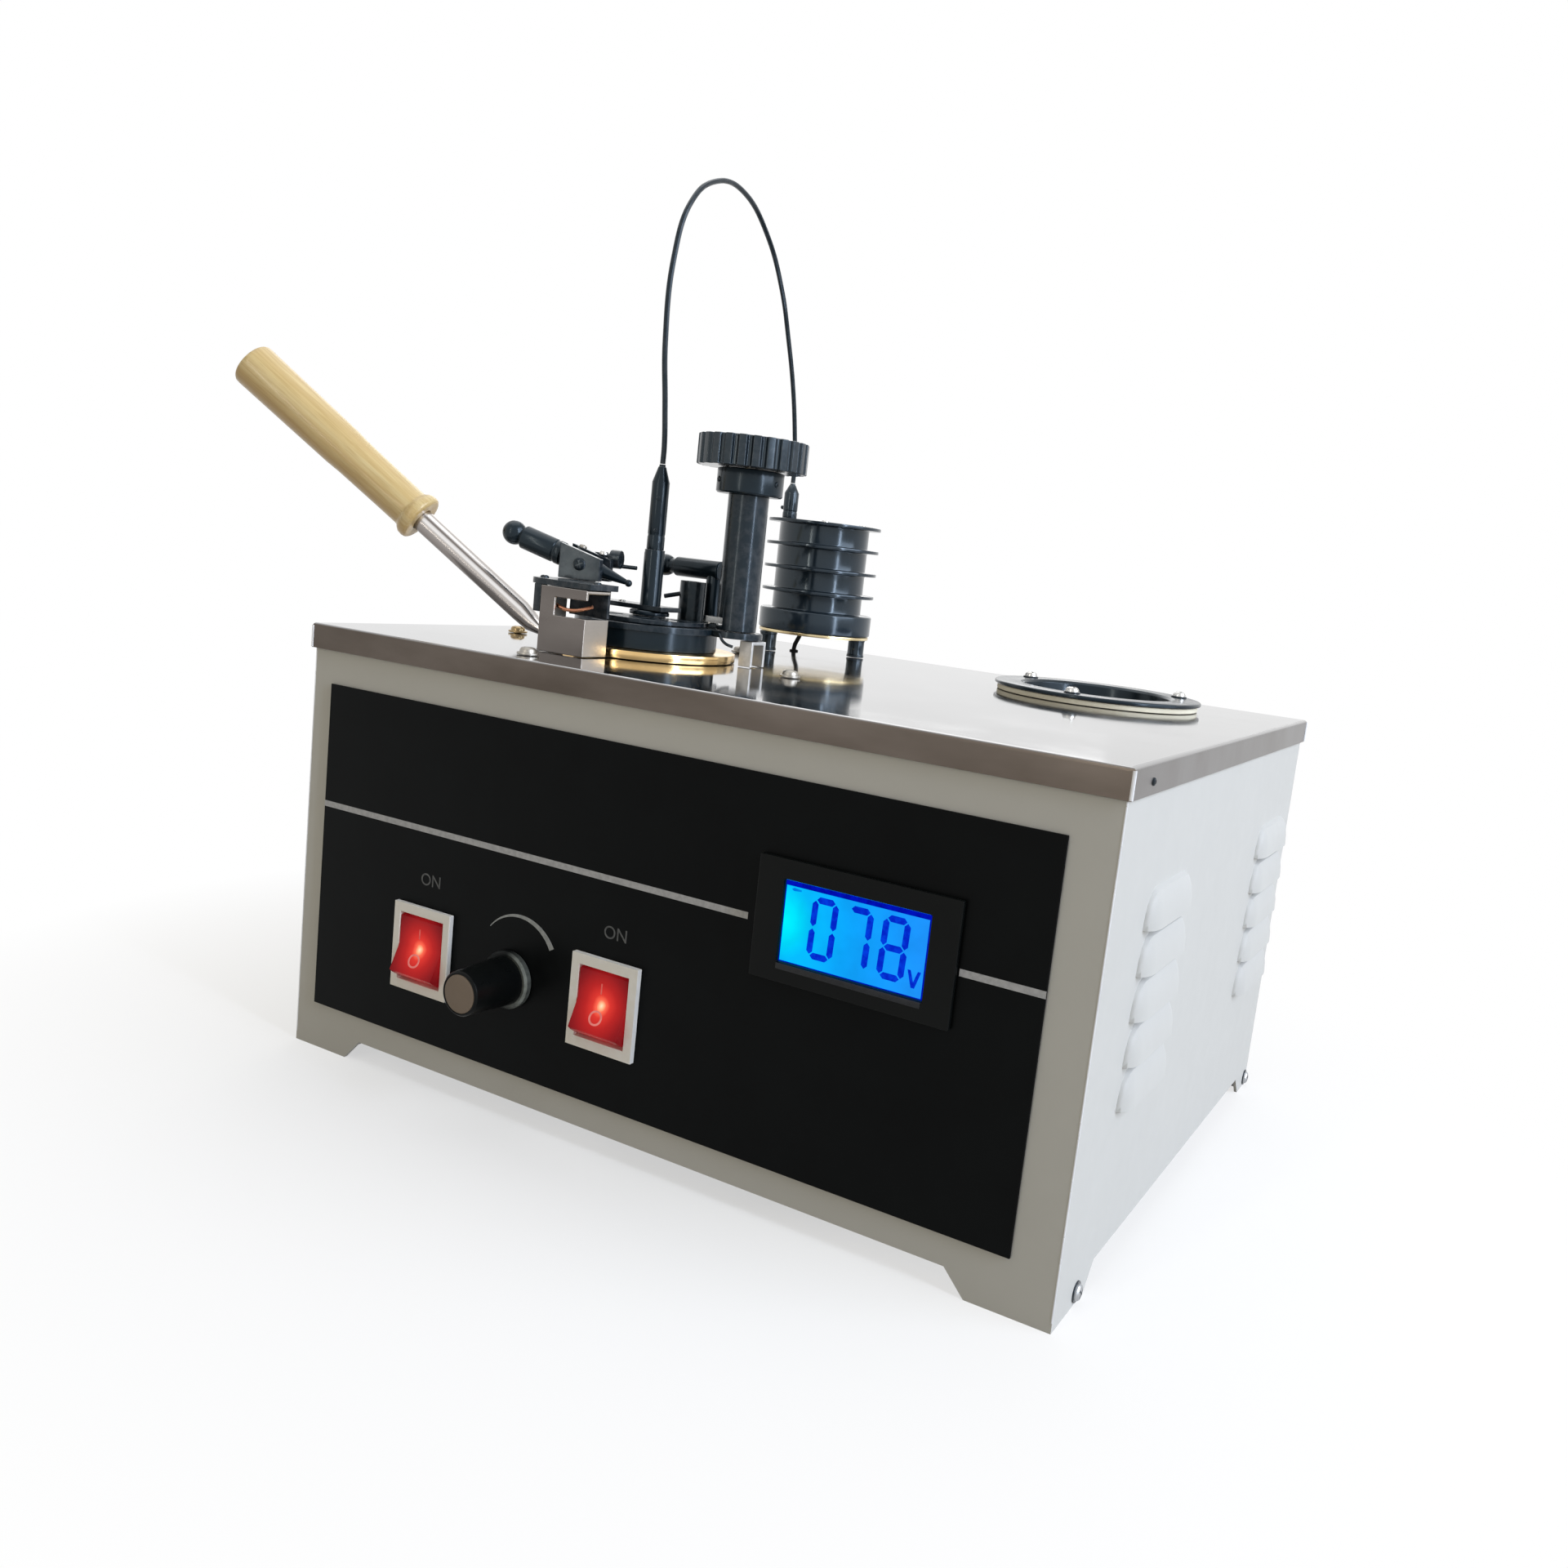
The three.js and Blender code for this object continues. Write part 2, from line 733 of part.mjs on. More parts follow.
function buildRearPanel(group, halfWidth, backFace) {
  const sheetBody = block(-halfWidth, halfWidth, backFace - sheet, backFace, baseTop + seat,
    shellTop - seat);
  const cuts = [
    block(inletX - inletWidth / 2 - seat, inletX + inletWidth / 2 + seat, backFace - sheet - overrun,
      backFace + overrun, inletZ - inletHeight / 2 - seat, inletZ + inletHeight / 2 + seat),
    moved(facingFront(rod(fuseRadius + seat, -backFace - overrun, -backFace + sheet + overrun,
      smallSides)), fuseX, 0, inletZ),
  ];
  for (let row = 0; row < ventCount; row += 1) {
    const low = ventLow + row * ventPitch;
    cuts.push(block(ventX - ventWidth / 2, ventX + ventWidth / 2, backFace - sheet - overrun,
      backFace + overrun, low, low + ventHeight));
  }
  add(group, 'rear_panel', cut(sheetBody, ...cuts), greyPaint);

  const rimBack = backFace + seat + inletLip;
  const socket = cut(
    join(
      block(-inletWidth / 2, inletWidth / 2, backFace - inletDepth, backFace + seat + inletLip / 2,
        -inletHeight / 2, inletHeight / 2),
      block(-inletWidth / 2 - inletRim, inletWidth / 2 + inletRim, backFace + seat, rimBack,
        -inletHeight / 2 - inletRim, inletHeight / 2 + inletRim),
    ),
    block(-inletWidth / 2 + inletSocketWall, inletWidth / 2 - inletSocketWall,
      rimBack - inletSocketDepth, rimBack + overrun, -inletHeight / 2 + inletSocketWall,
      inletHeight / 2 - inletSocketWall),
  );
  add(group, 'power_inlet', moved(socket, inletX, 0, inletZ), blackPlastic);

  const fuse = join(
    rod(fuseRadius, -backFace - seat - fuseCapThick / 2, -backFace + fuseDepth, smallSides),
    rod(fuseCapRadius, -backFace - seat - fuseCapThick, -backFace - seat, smallSides),
  );
  add(group, 'fuse_holder', moved(facingFront(fuse), fuseX, 0, inletZ), blackPlastic);
}

function buildBoard(group) {
  const low = baseTop + seat;
  const top = low + standoff + boardThick;
  const halfBoard = boardWidth / 2;
  const shapes = [block(-halfBoard, halfBoard, -boardDepth / 2, boardDepth / 2, low + standoff, top)];
  const cornerX = boardWidth / 2 - standoffInset;
  const cornerY = boardDepth / 2 - standoffInset;
  for (const [x, y] of [[-1, -1], [1, -1], [1, 1], [-1, 1]]) {
    shapes.push(moved(rod(standoffRadius, low, top - boardThick / 2, thinSides), x * cornerX, y * cornerY));
  }
  const partLow = top - boardThick / 2;
  shapes.push(block(-transformerSize, 0, -transformerSize / 2, transformerSize / 2, partLow,
    top + transformerSize));
  shapes.push(block(transformerSize / 2, transformerSize, -boardDepth / 4, boardDepth / 4, partLow,
    top + heatSinkHeight));
  shapes.push(block(transformerSize / 2 - heatSinkThick, transformerSize / 2 + heatSinkThick / 2,
    -heatSinkThick / 2, heatSinkThick / 2, partLow, top + heatSinkThick));
  add(group, 'regulator_board', moved(join(...shapes), boardX, boardY), greenBoard);
}

function buildCover(group) {
  const low = caseHeight - coverSkirt;
  const tray = cut(
    block(-caseWidth / 2, caseWidth / 2, -caseDepth / 2, caseDepth / 2, low, caseHeight),
    block(-caseWidth / 2 + coverSheet, caseWidth / 2 - coverSheet, -caseDepth / 2 + coverSheet,
      caseDepth / 2 - coverSheet, low - overrun, caseHeight - coverSheet),
  );
  const holeLow = caseHeight - coverSheet - overrun;
  const holeTop = caseHeight + overrun;
  const holes = [
    moved(rod(wellHoleRadius, holeLow, holeTop, wideSides), wellX, wellY),
    moved(rod(restBowlRadius + running, holeLow, holeTop, wideSides), restX, restY),
    moved(rod(leadHoleRadius, holeLow, holeTop, thinSides), motorX + leadX - leadBend, motorY),
  ];
  for (let k = 0; k < stoveScrewCount; k += 1) {
    const [x, y] = polar(stoveScrewCircle, (360 * k) / stoveScrewCount);
    holes.push(moved(rod(screwRadius + seat, holeLow, holeTop, thinSides), wellX + x, wellY + y));
  }
  add(group, 'top_cover', cut(tray, ...holes), stainless);
}

// Front panel, display, rocker switches and heat knob

function buildFrontPanel(group) {
  const overlay = block(panelLeft, panelRight, panelFace, panelBack, panelLow, panelHigh);
  add(group, 'front_panel', cut(overlay, ...frontOpenings()), blackPanel);

  const face = panelFace - seat;
  const bezel = join(
    block(-displayWidth / 2, displayWidth / 2, face - displayRim, face, -displayHeight / 2,
      displayHeight / 2),
    block(-displayBodyWidth / 2, displayBodyWidth / 2, face - displayRim / 2, face + displayBodyDepth,
      -displayBodyHeight / 2, displayBodyHeight / 2),
  );
  const front = face - displayRim;
  const window = block(-windowWidth / 2, windowWidth / 2, front - overrun, front + windowDepth,
    -windowHeight / 2, windowHeight / 2);
  add(group, 'display_bezel', moved(cut(bezel, window), displayX, 0, displayZ), blackPlastic);
  const lens = block(-windowWidth / 2 + seat, windowWidth / 2 - seat, front + windowDepth - seat - lensThick,
    front + windowDepth - seat, -windowHeight / 2 + seat, windowHeight / 2 - seat);
  add(group, 'display_lens', moved(lens, displayX, 0, displayZ), blueGlass);

  buildSwitch(group, 'stirrer', stirrerSwitchX, stirrerSwitchZ);
  buildSwitch(group, 'power', powerSwitchX, powerSwitchZ);
  buildHeatKnob(group);
}

function buildSwitch(group, name, x, z) {
  const face = panelFace - seat;
  const front = face - switchRim;
  const pivotY = front + rockerMiddleForward;
  const cavityHalfWidth = rockerWidth / 2 + running;
  const cavityHalfHeight = rockerReach + running;
  const corner = Math.hypot(rockerBack, rockerReach);
  const deepest = corner * Math.sin(Math.atan2(rockerBack, rockerReach) + rockerTilt * degree);
  const cavityBack = pivotY + deepest + running;
  const frame = cut(
    join(
      block(-switchWidth / 2, switchWidth / 2, front, face, -switchHeight / 2, switchHeight / 2),
      block(-switchBodyWidth / 2, switchBodyWidth / 2, front + switchRim / 2, face + switchBodyDepth,
        -switchBodyHeight / 2, switchBodyHeight / 2),
    ),
    block(-cavityHalfWidth, cavityHalfWidth, front - overrun, cavityBack, -cavityHalfHeight,
      cavityHalfHeight),
    moved(alongX(rod(rockerPinRadius + seat, -cavityHalfWidth - rockerPinLength, cavityHalfWidth
      + rockerPinLength, smallSides)), 0, pivotY),
  );
  add(group, `${name}_switch_frame`, moved(frame, x, 0, z), ivoryPlastic);

  // The profile is drawn as [forward, up] from the pivot and then tilted.
  const endUp = Math.sqrt(rockerReach ** 2 - rockerEndForward ** 2);
  const endTurn = Math.atan2(endUp, rockerEndForward);
  const backTurn = Math.PI - Math.acos(rockerBack / rockerReach);
  const upper = [];
  for (let k = 0; k <= rockerArcSteps; k += 1) {
    const turn = endTurn + ((backTurn - endTurn) * k) / rockerArcSteps;
    upper.push([rockerReach * Math.cos(turn), rockerReach * Math.sin(turn)]);
  }
  const lower = upper.map(([forward, up]) => [forward, -up]).reverse();
  const outline = [[rockerMiddleForward, 0], ...upper, ...lower];
  const body = plate(outline.map(([forward, up]) => [-forward, up]), -rockerWidth / 2, rockerWidth / 2);
  const pinReach = cavityHalfWidth + rockerPinLength - seat;
  const pins = rod(rockerPinRadius, -pinReach, pinReach, smallSides);
  // Standing on z with -x forward and y up, turned so that -y is forward, z up and x across.
  const rocker = join(body, pins).rotateZ(-rockerTilt * degree).rotateY(Math.PI / 2).rotateX(Math.PI / 2);
  const mesh = add(group, `${name}_rocker`, rocker, redPlastic);
  mesh.position.set(x, pivotY, z);
}

function buildHeatKnob(group) {
  const base = -panelFace + seat;
  const end = base + knobLength;
  const shaftEnd = base + potShaftLength;
  const knob = turned([
    [0, shaftEnd + seat], [potShaftRadius + seat, shaftEnd + seat], [potShaftRadius + seat, base],
    [knobBaseRadius, base], [knobBaseRadius, base + knobBaseThick], [knobRadius, base + knobBaseThick],
    [knobEndRadius, end], [knobCapRadius + seat, end], [knobCapRadius + seat, end - knobCapThick],
    [0, end - knobCapThick],
  ]);
  add(group, 'heat_knob', moved(facingFront(knob), knobX, 0, knobZ), blackPlastic);
  const cap = rod(knobCapRadius, end - knobCapThick + seat, end);
  add(group, 'heat_knob_cap', moved(facingFront(cap), knobX, 0, knobZ), tanCap);

  const wallInside = innerHalfDepth - seat;
  const bushBore = potShaftRadius + running;
  const boreEnd = wallInside - potDepth / 2;
  const bushFront = base - seat - panelThick / 2;
  const pot = turned([
    [0, wallInside - potDepth], [potRadius, wallInside - potDepth], [potRadius, wallInside],
    [potBushRadius, wallInside], [potBushRadius, bushFront], [bushBore, bushFront],
    [bushBore, boreEnd], [0, boreEnd],
  ]);
  add(group, 'heat_pot', moved(facingFront(pot), knobX, 0, knobZ), galvanised);
  const shaft = rod(potShaftRadius, boreEnd + seat, shaftEnd, smallSides);
  add(group, 'heat_pot_shaft', moved(facingFront(shaft), knobX, 0, knobZ), springSteel);
}

// Heating well and screws

function buildStove(group) {
  const bathTop = underCover;
  const bathLow = bathTop - bathDepth - bathFloor;
  const bath = turned([
    [0, bathLow], [bathRadius, bathLow], [bathRadius, bathTop], [bathBoreRadius, bathTop],
    [bathBoreRadius, bathTop - bathDepth], [0, bathTop - bathDepth],
  ], wideSides);
  add(group, 'air_bath', bath, castIron);
  const heaterTop = bathLow - seat;
  add(group, 'heater_element', rod(heaterRadius, heaterTop - heaterThick, heaterTop), galvanised);

  const trayTop = heaterTop - heaterThick - seat;
  const insulationTop = bathTop - insulationTopDrop;
  const insulation = turned([
    [0, trayTop - insulationFloor], [insulationRadius, trayTop - insulationFloor],
    [insulationRadius, insulationTop], [bathRadius + seat, insulationTop],
    [bathRadius + seat, trayTop], [0, trayTop],
  ], wideSides);
  add(group, 'insulation', insulation, ceramic);

  const shellBore = insulationRadius + seat;
  const shellFloor = trayTop - insulationFloor - seat;
  const flangeLow = bathTop - shellFlangeThick;
  const shell = turned([
    [0, shellFloor - shellWall], [shellBore + shellWall, shellFloor - shellWall],
    [shellBore + shellWall, flangeLow], [shellFlangeRadius, flangeLow], [shellFlangeRadius, bathTop],
    [shellBore, bathTop], [shellBore, shellFloor], [0, shellFloor],
  ], wideSides);
  const holes = [];
  for (let k = 0; k < stoveScrewCount; k += 1) {
    const [x, y] = polar(stoveScrewCircle, (360 * k) / stoveScrewCount);
    holes.push(moved(rod(screwRadius + seat, flangeLow - overrun, bathTop + overrun, thinSides), x, y));
    const screw = join(
      rod(washerRadius, seat, seat + washerThick, smallSides),
      rod(screwHeadRadius, seat + washerThick / 2, seat + washerThick + screwHeadHeight, smallSides,
        screwHeadRadius * screwCrownShare),
      rod(screwRadius, -screwLength, seat + washerThick, thinSides),
    );
    add(group, `stove_screw_${k + 1}`, moved(screw, x, y), brass);
  }
  add(group, 'stove_shell', cut(shell, ...holes), galvanised);
}

// Cup and handle

function buildCup(group) {
  const bottom = cupRim - cupDepth - cupFloor;
  const cup = turned([
    [0, bottom], [cupBoreRadius + cupWall, bottom], [cupBoreRadius + cupWall, seat], [flangeRadius, seat],
    [flangeRadius, flangeTop], [neckRadius, flangeTop], [neckRadius, cupRim], [cupBoreRadius, cupRim],
    [cupBoreRadius, bottom + cupFloor], [0, bottom + cupFloor],
  ], wideSides);
  add(group, 'cup', cup, brass);
  buildHandle(group);
}

function buildHandle(group) {
  const turning = new THREE.Group();
  turning.rotation.z = handleAzimuth * degree;
  group.add(turning);
  const slope = handleSlope * degree;
  const tangLow = flangeTop + seat;
  const tangTop = tangLow + tangThick;
  const bendReach = handleStartReach - handleTubeRadius;
  const tang = block(tangInner, bendReach, -tangWidth / 2, tangWidth / 2, tangLow, tangTop);
  const runLength = gripStart + gripBoreDepth - seat;
  const lean = (shape) => moved(shape.clone().rotateY(Math.PI / 2 - slope), handleStartReach, 0,
    handleStartRise);
  const start = -handleTubeRadius * 2;
  const straight = lean(rod(handleTubeRadius, start, runLength, roundSides));
  const above = block(0, caseWidth, -caseDepth, caseDepth, tangLow, caseWidth);
  add(turning, 'handle_tube', join(tang, keep(straight, above)), stainless);

  const grip = turned([
    [handleTubeRadius + seat, gripStart], [gripRingRadius - gripRound / 2, gripStart],
    [gripRingRadius, gripStart + gripRound / 2], [gripRingRadius, gripStart + gripRingLength - gripRound],
    [gripNeckRadius, gripStart + gripRingLength],
    [gripWaistRadius, gripStart + gripLength * gripWaistShare],
    [gripEndRadius, gripStart + gripLength * gripSwellShare],
    [gripEndRadius, gripStart + gripLength - gripRound],
    [gripEndRadius - gripRound, gripStart + gripLength], [0, gripStart + gripLength],
    [0, gripStart + gripBoreDepth], [handleTubeRadius + seat, gripStart + gripBoreDepth],
    [handleTubeRadius + seat, gripStart],
  ]);
  add(turning, 'handle_grip', lean(grip), wood);
}

// Lid, shutter and the column that turns it

function buildLid(group) {
  const disc = join(
    ring(neckRadius + lidFit, skirtRadius, flangeTop + seat, lidDiscTop - lidDiscThick / 2, wideSides),
    rod(lidDiscRadius, lidDiscLow, lidDiscTop, wideSides),
    moved(rod(earRadius, lidDiscLow, lidDiscTop), columnX, columnY),
    moved(rod(pilotEarRadius, lidDiscLow, lidDiscTop), pilotX, pilotY),
    rod(lidBossRadius, lidDiscTop - overrun, lidBossTop, roundSides),
  );
  const [tx, ty] = polar(thermometerReach, thermometerAzimuth);
  const ports = portAzimuths.map((azimuth) => sector(portCircle - portLength / 2,
    portCircle + portLength / 2, azimuth - portHalfAngle, azimuth + portHalfAngle,
    lidDiscLow - overrun, lidDiscTop + overrun));
  const lid = cut(disc, ...ports,
    rod(stirrerHoleRadius, flangeTop, lidBossTop + overrun, smallSides),
    moved(rod(thermometerBore, flangeTop, lidDiscTop + overrun, smallSides), tx, ty));
  add(group, 'lid', lid, blackened);

  const slotted = join(
    sector(lidBossRadius + running, shutterRadius, shutterFrom, shutterTo, shutterLow, shutterTop),
    sector(lidBossRadius + running, tailRadius, tailAzimuth - tailHalfAngle, tailAzimuth
      + tailHalfAngle, shutterLow, shutterTop),
  );
  const windows = portAzimuths.map((azimuth) => sector(portCircle - portLength / 2,
    portCircle + portLength / 2, azimuth + shutterTravel - portHalfAngle,
    azimuth + shutterTravel + portHalfAngle, shutterLow - overrun, shutterTop + overrun));
  const slot = spun(block(tailSlotInner, tailSlotOuter, -tailSlotHalfWidth, tailSlotHalfWidth,
    shutterLow - overrun, shutterTop + overrun), tailAzimuth);
  add(group, 'shutter', cut(slotted, ...windows, slot), blackened);

  const collar = ring(thermometerBore, thermometerRadius, lidDiscTop + seat, thermometerTop);
  const tilted = (shape) => moved(alongX(shape).rotateY(-clampPinTilt * degree), 0, 0,
    thermometerTop - clampPinDrop);
  const pinHole = tilted(rod(clampPinRadius + seat, -thermometerRadius - overrun,
    -thermometerRadius + clampPinSeat + seat, smallSides));
  const aimed = (shape) => moved(spun(shape, clampPinAzimuth), tx, ty);
  add(group, 'thermometer_collar', aimed(cut(collar, pinHole)), blackened);
  const pin = tilted(rod(clampPinRadius, -thermometerRadius - clampPinLength, -thermometerRadius
    + clampPinSeat, smallSides));
  add(group, 'clamp_pin', aimed(pin), blackened);

  buildColumn(group);
  buildStirrer(group);
  buildFlameLamp(group);
}

function buildColumn(group) {
  const column = new THREE.Group();
  column.position.set(columnX, columnY, 0);
  group.add(column);
  const low = lidDiscTop + seat;
  const body = turned([
    [columnBoreRadius, low], [columnRadius, low], [columnRadius, columnTop],
    [rodRadius + running, columnTop], [rodRadius + running, columnTop - columnCapThick],
    [columnBoreRadius, columnTop - columnCapThick], [columnBoreRadius, low],
  ]);
  const sideTurn = Math.asin((crankWidth / 2 + running) / columnBoreRadius) / degree;
  const facing = 180 + columnAzimuth;
  const doorway = sector(rodRadius, columnRadius + overrun, facing + crankRest - sideTurn,
    facing + crankRest + crankTravel + sideTurn, crankLow - running, crankTop + running);
  add(column, 'column_tube', cut(body, doorway), blackPaint);

  const crankAim = facing + crankRest;
  const arm = block(0, crankReach, -crankWidth / 2, crankWidth / 2, crankLow, crankTop);
  const rodTop = turnKnobLow + turnKnobHeight / 2;
  const crank = join(
    rod(rodRadius, low + seat, rodTop, smallSides),
    rod(crankHubRadius, crankLow, crankTop, smallSides),
    spun(arm, crankAim),
    moved(rod(crankWidth / 2, crankLow, crankTop, smallSides), ...polar(crankReach, crankAim)),
    moved(rod(crankPinRadius, shutterLow, crankLow + overrun, smallSides), ...polar(crankReach, crankAim)),
  );
  add(column, 'shutter_rod', crank, springSteel);

  const collarBore = collarRadius - collarWall;
  const collarFloor = collarLow + collarWall;
  const collar = turned([
    [rodRadius + running, collarLow], [collarRadius, collarLow], [collarRadius, collarLow + collarHeight],
    [collarBore, collarLow + collarHeight], [collarBore, collarFloor], [rodRadius + running, collarFloor],
    [rodRadius + running, collarLow],
  ]);
  add(column, 'column_collar', collar, blackPaint);
  const spring = ring(springBore, springRadius, collarFloor + seat, collarLow + collarHeight - seat);
  add(column, 'return_spring', spring, springSteel);

  const outline = [];
  for (let tooth = 0; tooth < turnKnobTeeth; tooth += 1) {
    for (const [turn, depth] of toothShares) {
      const radius = turnKnobRadius - toothDepth * (1 - depth);
      outline.push(polar(radius, (360 * (tooth + turn)) / turnKnobTeeth));
    }
  }
  const knob = cut(
    plate(outline, turnKnobLow, turnKnobLow + turnKnobHeight),
    rod(rodRadius + seat, turnKnobLow - overrun, rodTop + seat, smallSides),
  );
  add(column, 'shutter_knob', knob, blackPaint);
}

function buildStirrer(group) {
  const bearing = turned([
    [stirrerRadius + running, bearingLow], [bearingFlangeRadius, bearingLow],
    [bearingFlangeRadius, bearingLow + bearingFlangeThick],
    [bearingRadius, bearingLow + bearingFlangeThick], [bearingRadius, bearingTop],
    [stirrerRadius + running, bearingTop], [stirrerRadius + running, bearingLow],
  ]);
  add(group, 'stirrer_bearing', bearing, blackPaint);

  const bridgeLow = bearingLow + bearingFlangeThick + seat;
  const bridge = cut(
    block(bridgeLeft, bridgeRight, bridgeFront, bridgeBack, bridgeLow, bridgeLow + bridgeThick),
    rod(bearingRadius + seat, bridgeLow - overrun, bridgeLow + bridgeThick + overrun, roundSides),
  );
  add(group, 'lid_bridge', bridge, blackened);

  const couplingLow = bearingTop + seat;
  const coneTop = couplingTop + couplingConeHeight;
  const coupling = turned([
    [stirrerRadius + seat, couplingLow], [couplingRadius, couplingLow], [couplingRadius, couplingTop],
    [couplingTipRadius, coneTop], [0, coneTop], [0, couplingLow + couplingBoreDepth],
    [stirrerRadius + seat, couplingLow + couplingBoreDepth], [stirrerRadius + seat, couplingLow],
  ]);
  add(group, 'stirrer_coupling', coupling, blackPaint);

  const shapes = [rod(stirrerRadius, stirrerBottom, couplingLow + couplingBoreDepth - seat, smallSides)];
  for (const [reach, z] of [[lowerBladeReach, lowerBladeZ], [upperBladeReach, upperBladeZ]]) {
    for (const side of [1, -1]) {
      const blade = block(0, reach, -bladeThick / 2, bladeThick / 2, -bladeHeight / 2, bladeHeight / 2);
      blade.rotateX(bladePitch * degree);
      shapes.push(moved(spun(blade, side > 0 ? 0 : 180), 0, 0, z));
    }
  }
  add(group, 'stirrer_shaft', join(...shapes), stainless);
}

// Flame lamp on the lid

function beadProfile(radius, centre, neck) {
  const reach = Math.sqrt(radius ** 2 - neck ** 2);
  const from = Math.atan2(neck, -reach);
  const points = [];
  for (let k = 0; k <= beadSteps; k += 1) {
    const turn = from * (1 - k / beadSteps);
    points.push([radius * Math.sin(turn), centre + radius * Math.cos(turn)]);
  }
  return points;
}

function buildFlameLamp(group) {
  const frame = new THREE.Group();
  frame.position.set(lampX, lampY, 0);
  frame.rotation.z = lampAzimuth * degree;
  group.add(frame);

  // The lamp is turned round its own line, nozzle first, and then laid along +x and tipped down.
  const tail = beadProfile(lampBeadRadius, lampBeadCentre, lampNeckRadius).map(([r, z]) => [r, -z]);
  const ball = beadProfile(nozzleBallRadius, nozzleEnd + nozzleBallRadius, nozzleTipRadius);
  const profile = [
    ...tail.reverse(), [lampNeckRadius, -lampBarrelEnd], [lampBarrelRadius, -lampBarrelEnd],
    [lampBarrelRadius, -lampBarrelStart], [lampHubRadius, -lampBarrelStart],
    [lampHubRadius, nozzleStart], [nozzleRootRadius, nozzleStart], [nozzleTipRadius, nozzleEnd], ...ball,
  ];
  const across = rod(trunnionRadius, -trunnionReach, trunnionReach, smallSides).rotateX(Math.PI / 2);
  const lamp = join(alongX(turned(profile)), across);
  const lampMesh = add(frame, 'flame_lamp', lamp, blackPaint);
  lampMesh.position.set(0, 0, lampZ);
  lampMesh.rotation.y = lampSlope * degree;

  // The block's top follows the lamp's slope, and its slot is wider where the barrel dips into it.
  const slotFloor = blockLow + blockFloor;
  const blockMouthHalfWidth = lampBarrelRadius + running;
  const above = block(-lampBeadCentre, lampBeadCentre, -blockHalfWidth - overrun, blockHalfWidth + overrun,
    blockRise, lampBeadCentre);
  const body = cut(
    block(-blockHalfLength, blockHalfLength, -blockHalfWidth, blockHalfWidth, blockLow,
      lampZ + lampBarrelEnd / 2),
    block(-blockHalfLength - overrun, blockHalfLength + overrun, -blockSlotHalfWidth, blockSlotHalfWidth,
      slotFloor, lampZ + lampBarrelEnd),
    block(-blockHalfLength - overrun, -blockMouthStart, -blockMouthHalfWidth, blockMouthHalfWidth,
      slotFloor, lampZ + lampBarrelEnd),
    moved(above.rotateY(lampSlope * degree), 0, 0, lampZ),
    block(blockNotchStart, blockHalfLength + overrun, -blockSlotHalfWidth, blockSlotHalfWidth,
      blockLow - overrun, slotFloor + overrun),
    moved(rod(trunnionRadius + running, -blockHalfWidth - overrun, blockHalfWidth + overrun,
      smallSides).rotateX(Math.PI / 2), 0, 0, lampZ),
    moved(rod(valveStemRadius + seat, valveSeat - valveStemLength - seat, valveSeat + overrun, thinSides),
      valveAhead, blockHalfWidth - valveSideInset),
  );
  add(frame, 'flame_block', body, blackPaint);
  const valve = join(
    rod(valveRadius, valveSeat + seat, valveSeat + seat + valveHeight, smallSides),
    rod(valveStemRadius, valveSeat - valveStemLength, valveSeat + seat + valveHeight / 2, thinSides),
  );
  add(frame, 'flame_valve', moved(valve, valveAhead, blockHalfWidth - valveSideInset), blackened);

  const jetBack = jetLength + jetBeadLength;
  const jet = join(
    alongX(turned([
      [0, 0], [jetRadius, 0], [jetRadius, jetLength], [jetBeadRadius, jetLength],
      [jetBeadRadius, jetBack], [0, jetBack],
    ], smallSides)),
    moved(alongX(rod(jetTubeRadius, jetLength, jetBack + jetTubeLength, thinSides)), 0, 0, -jetTubeDrop),
    block(0, jetBossWidth, blockHalfWidth + seat - jetSide, -jetRadius / 2, -jetBossWidth / 2,
      jetBossWidth / 2),
  );
  add(frame, 'pilot_jet', moved(jet, 0, jetSide, jetZ), blackPaint);
  buildLatchPlate(group);
  buildPilotLamp(group);
}

// The plate that carries the flame block, on its post from the lid, and reaches over the bracket.
function buildLatchPlate(group) {
  const tongue = block(-latchTongueBack, blockNoseStart, -blockHalfWidth, blockHalfWidth, latchLow,
    latchLow + latchThick);
  const inner = shutterRadius + running;
  const post = block(inner, Math.min(inner + standPostThick, lidDiscRadius), -standPostWidth / 2,
    standPostWidth / 2, lidDiscTop + seat, latchLow + latchThick / 2);
  const postAzimuth = Math.atan2(lampY, lampX) / degree;
  const stand = join(
    block(latchLeft + latchEndRadius, latchRight, latchFront, latchBack, latchLow, latchLow + latchThick),
    moved(rod(latchEndRadius, latchLow, latchLow + latchThick), latchLeft + latchEndRadius,
      (latchFront + latchBack) / 2),
    block(lampX - blockHalfWidth, lampX + blockNoseStart, latchBack - overrun, lampY, latchLow,
      latchLow + latchThick),
    moved(spun(tongue, lampAzimuth), lampX, lampY),
    spun(post, postAzimuth),
    block(latchSkirtLeft, latchSkirtRight, latchBack - latchSkirtThick, latchBack, latchSkirtLow,
      latchLow + latchThick / 2),
  );
  add(group, 'latch_plate', stand, blackened);
}

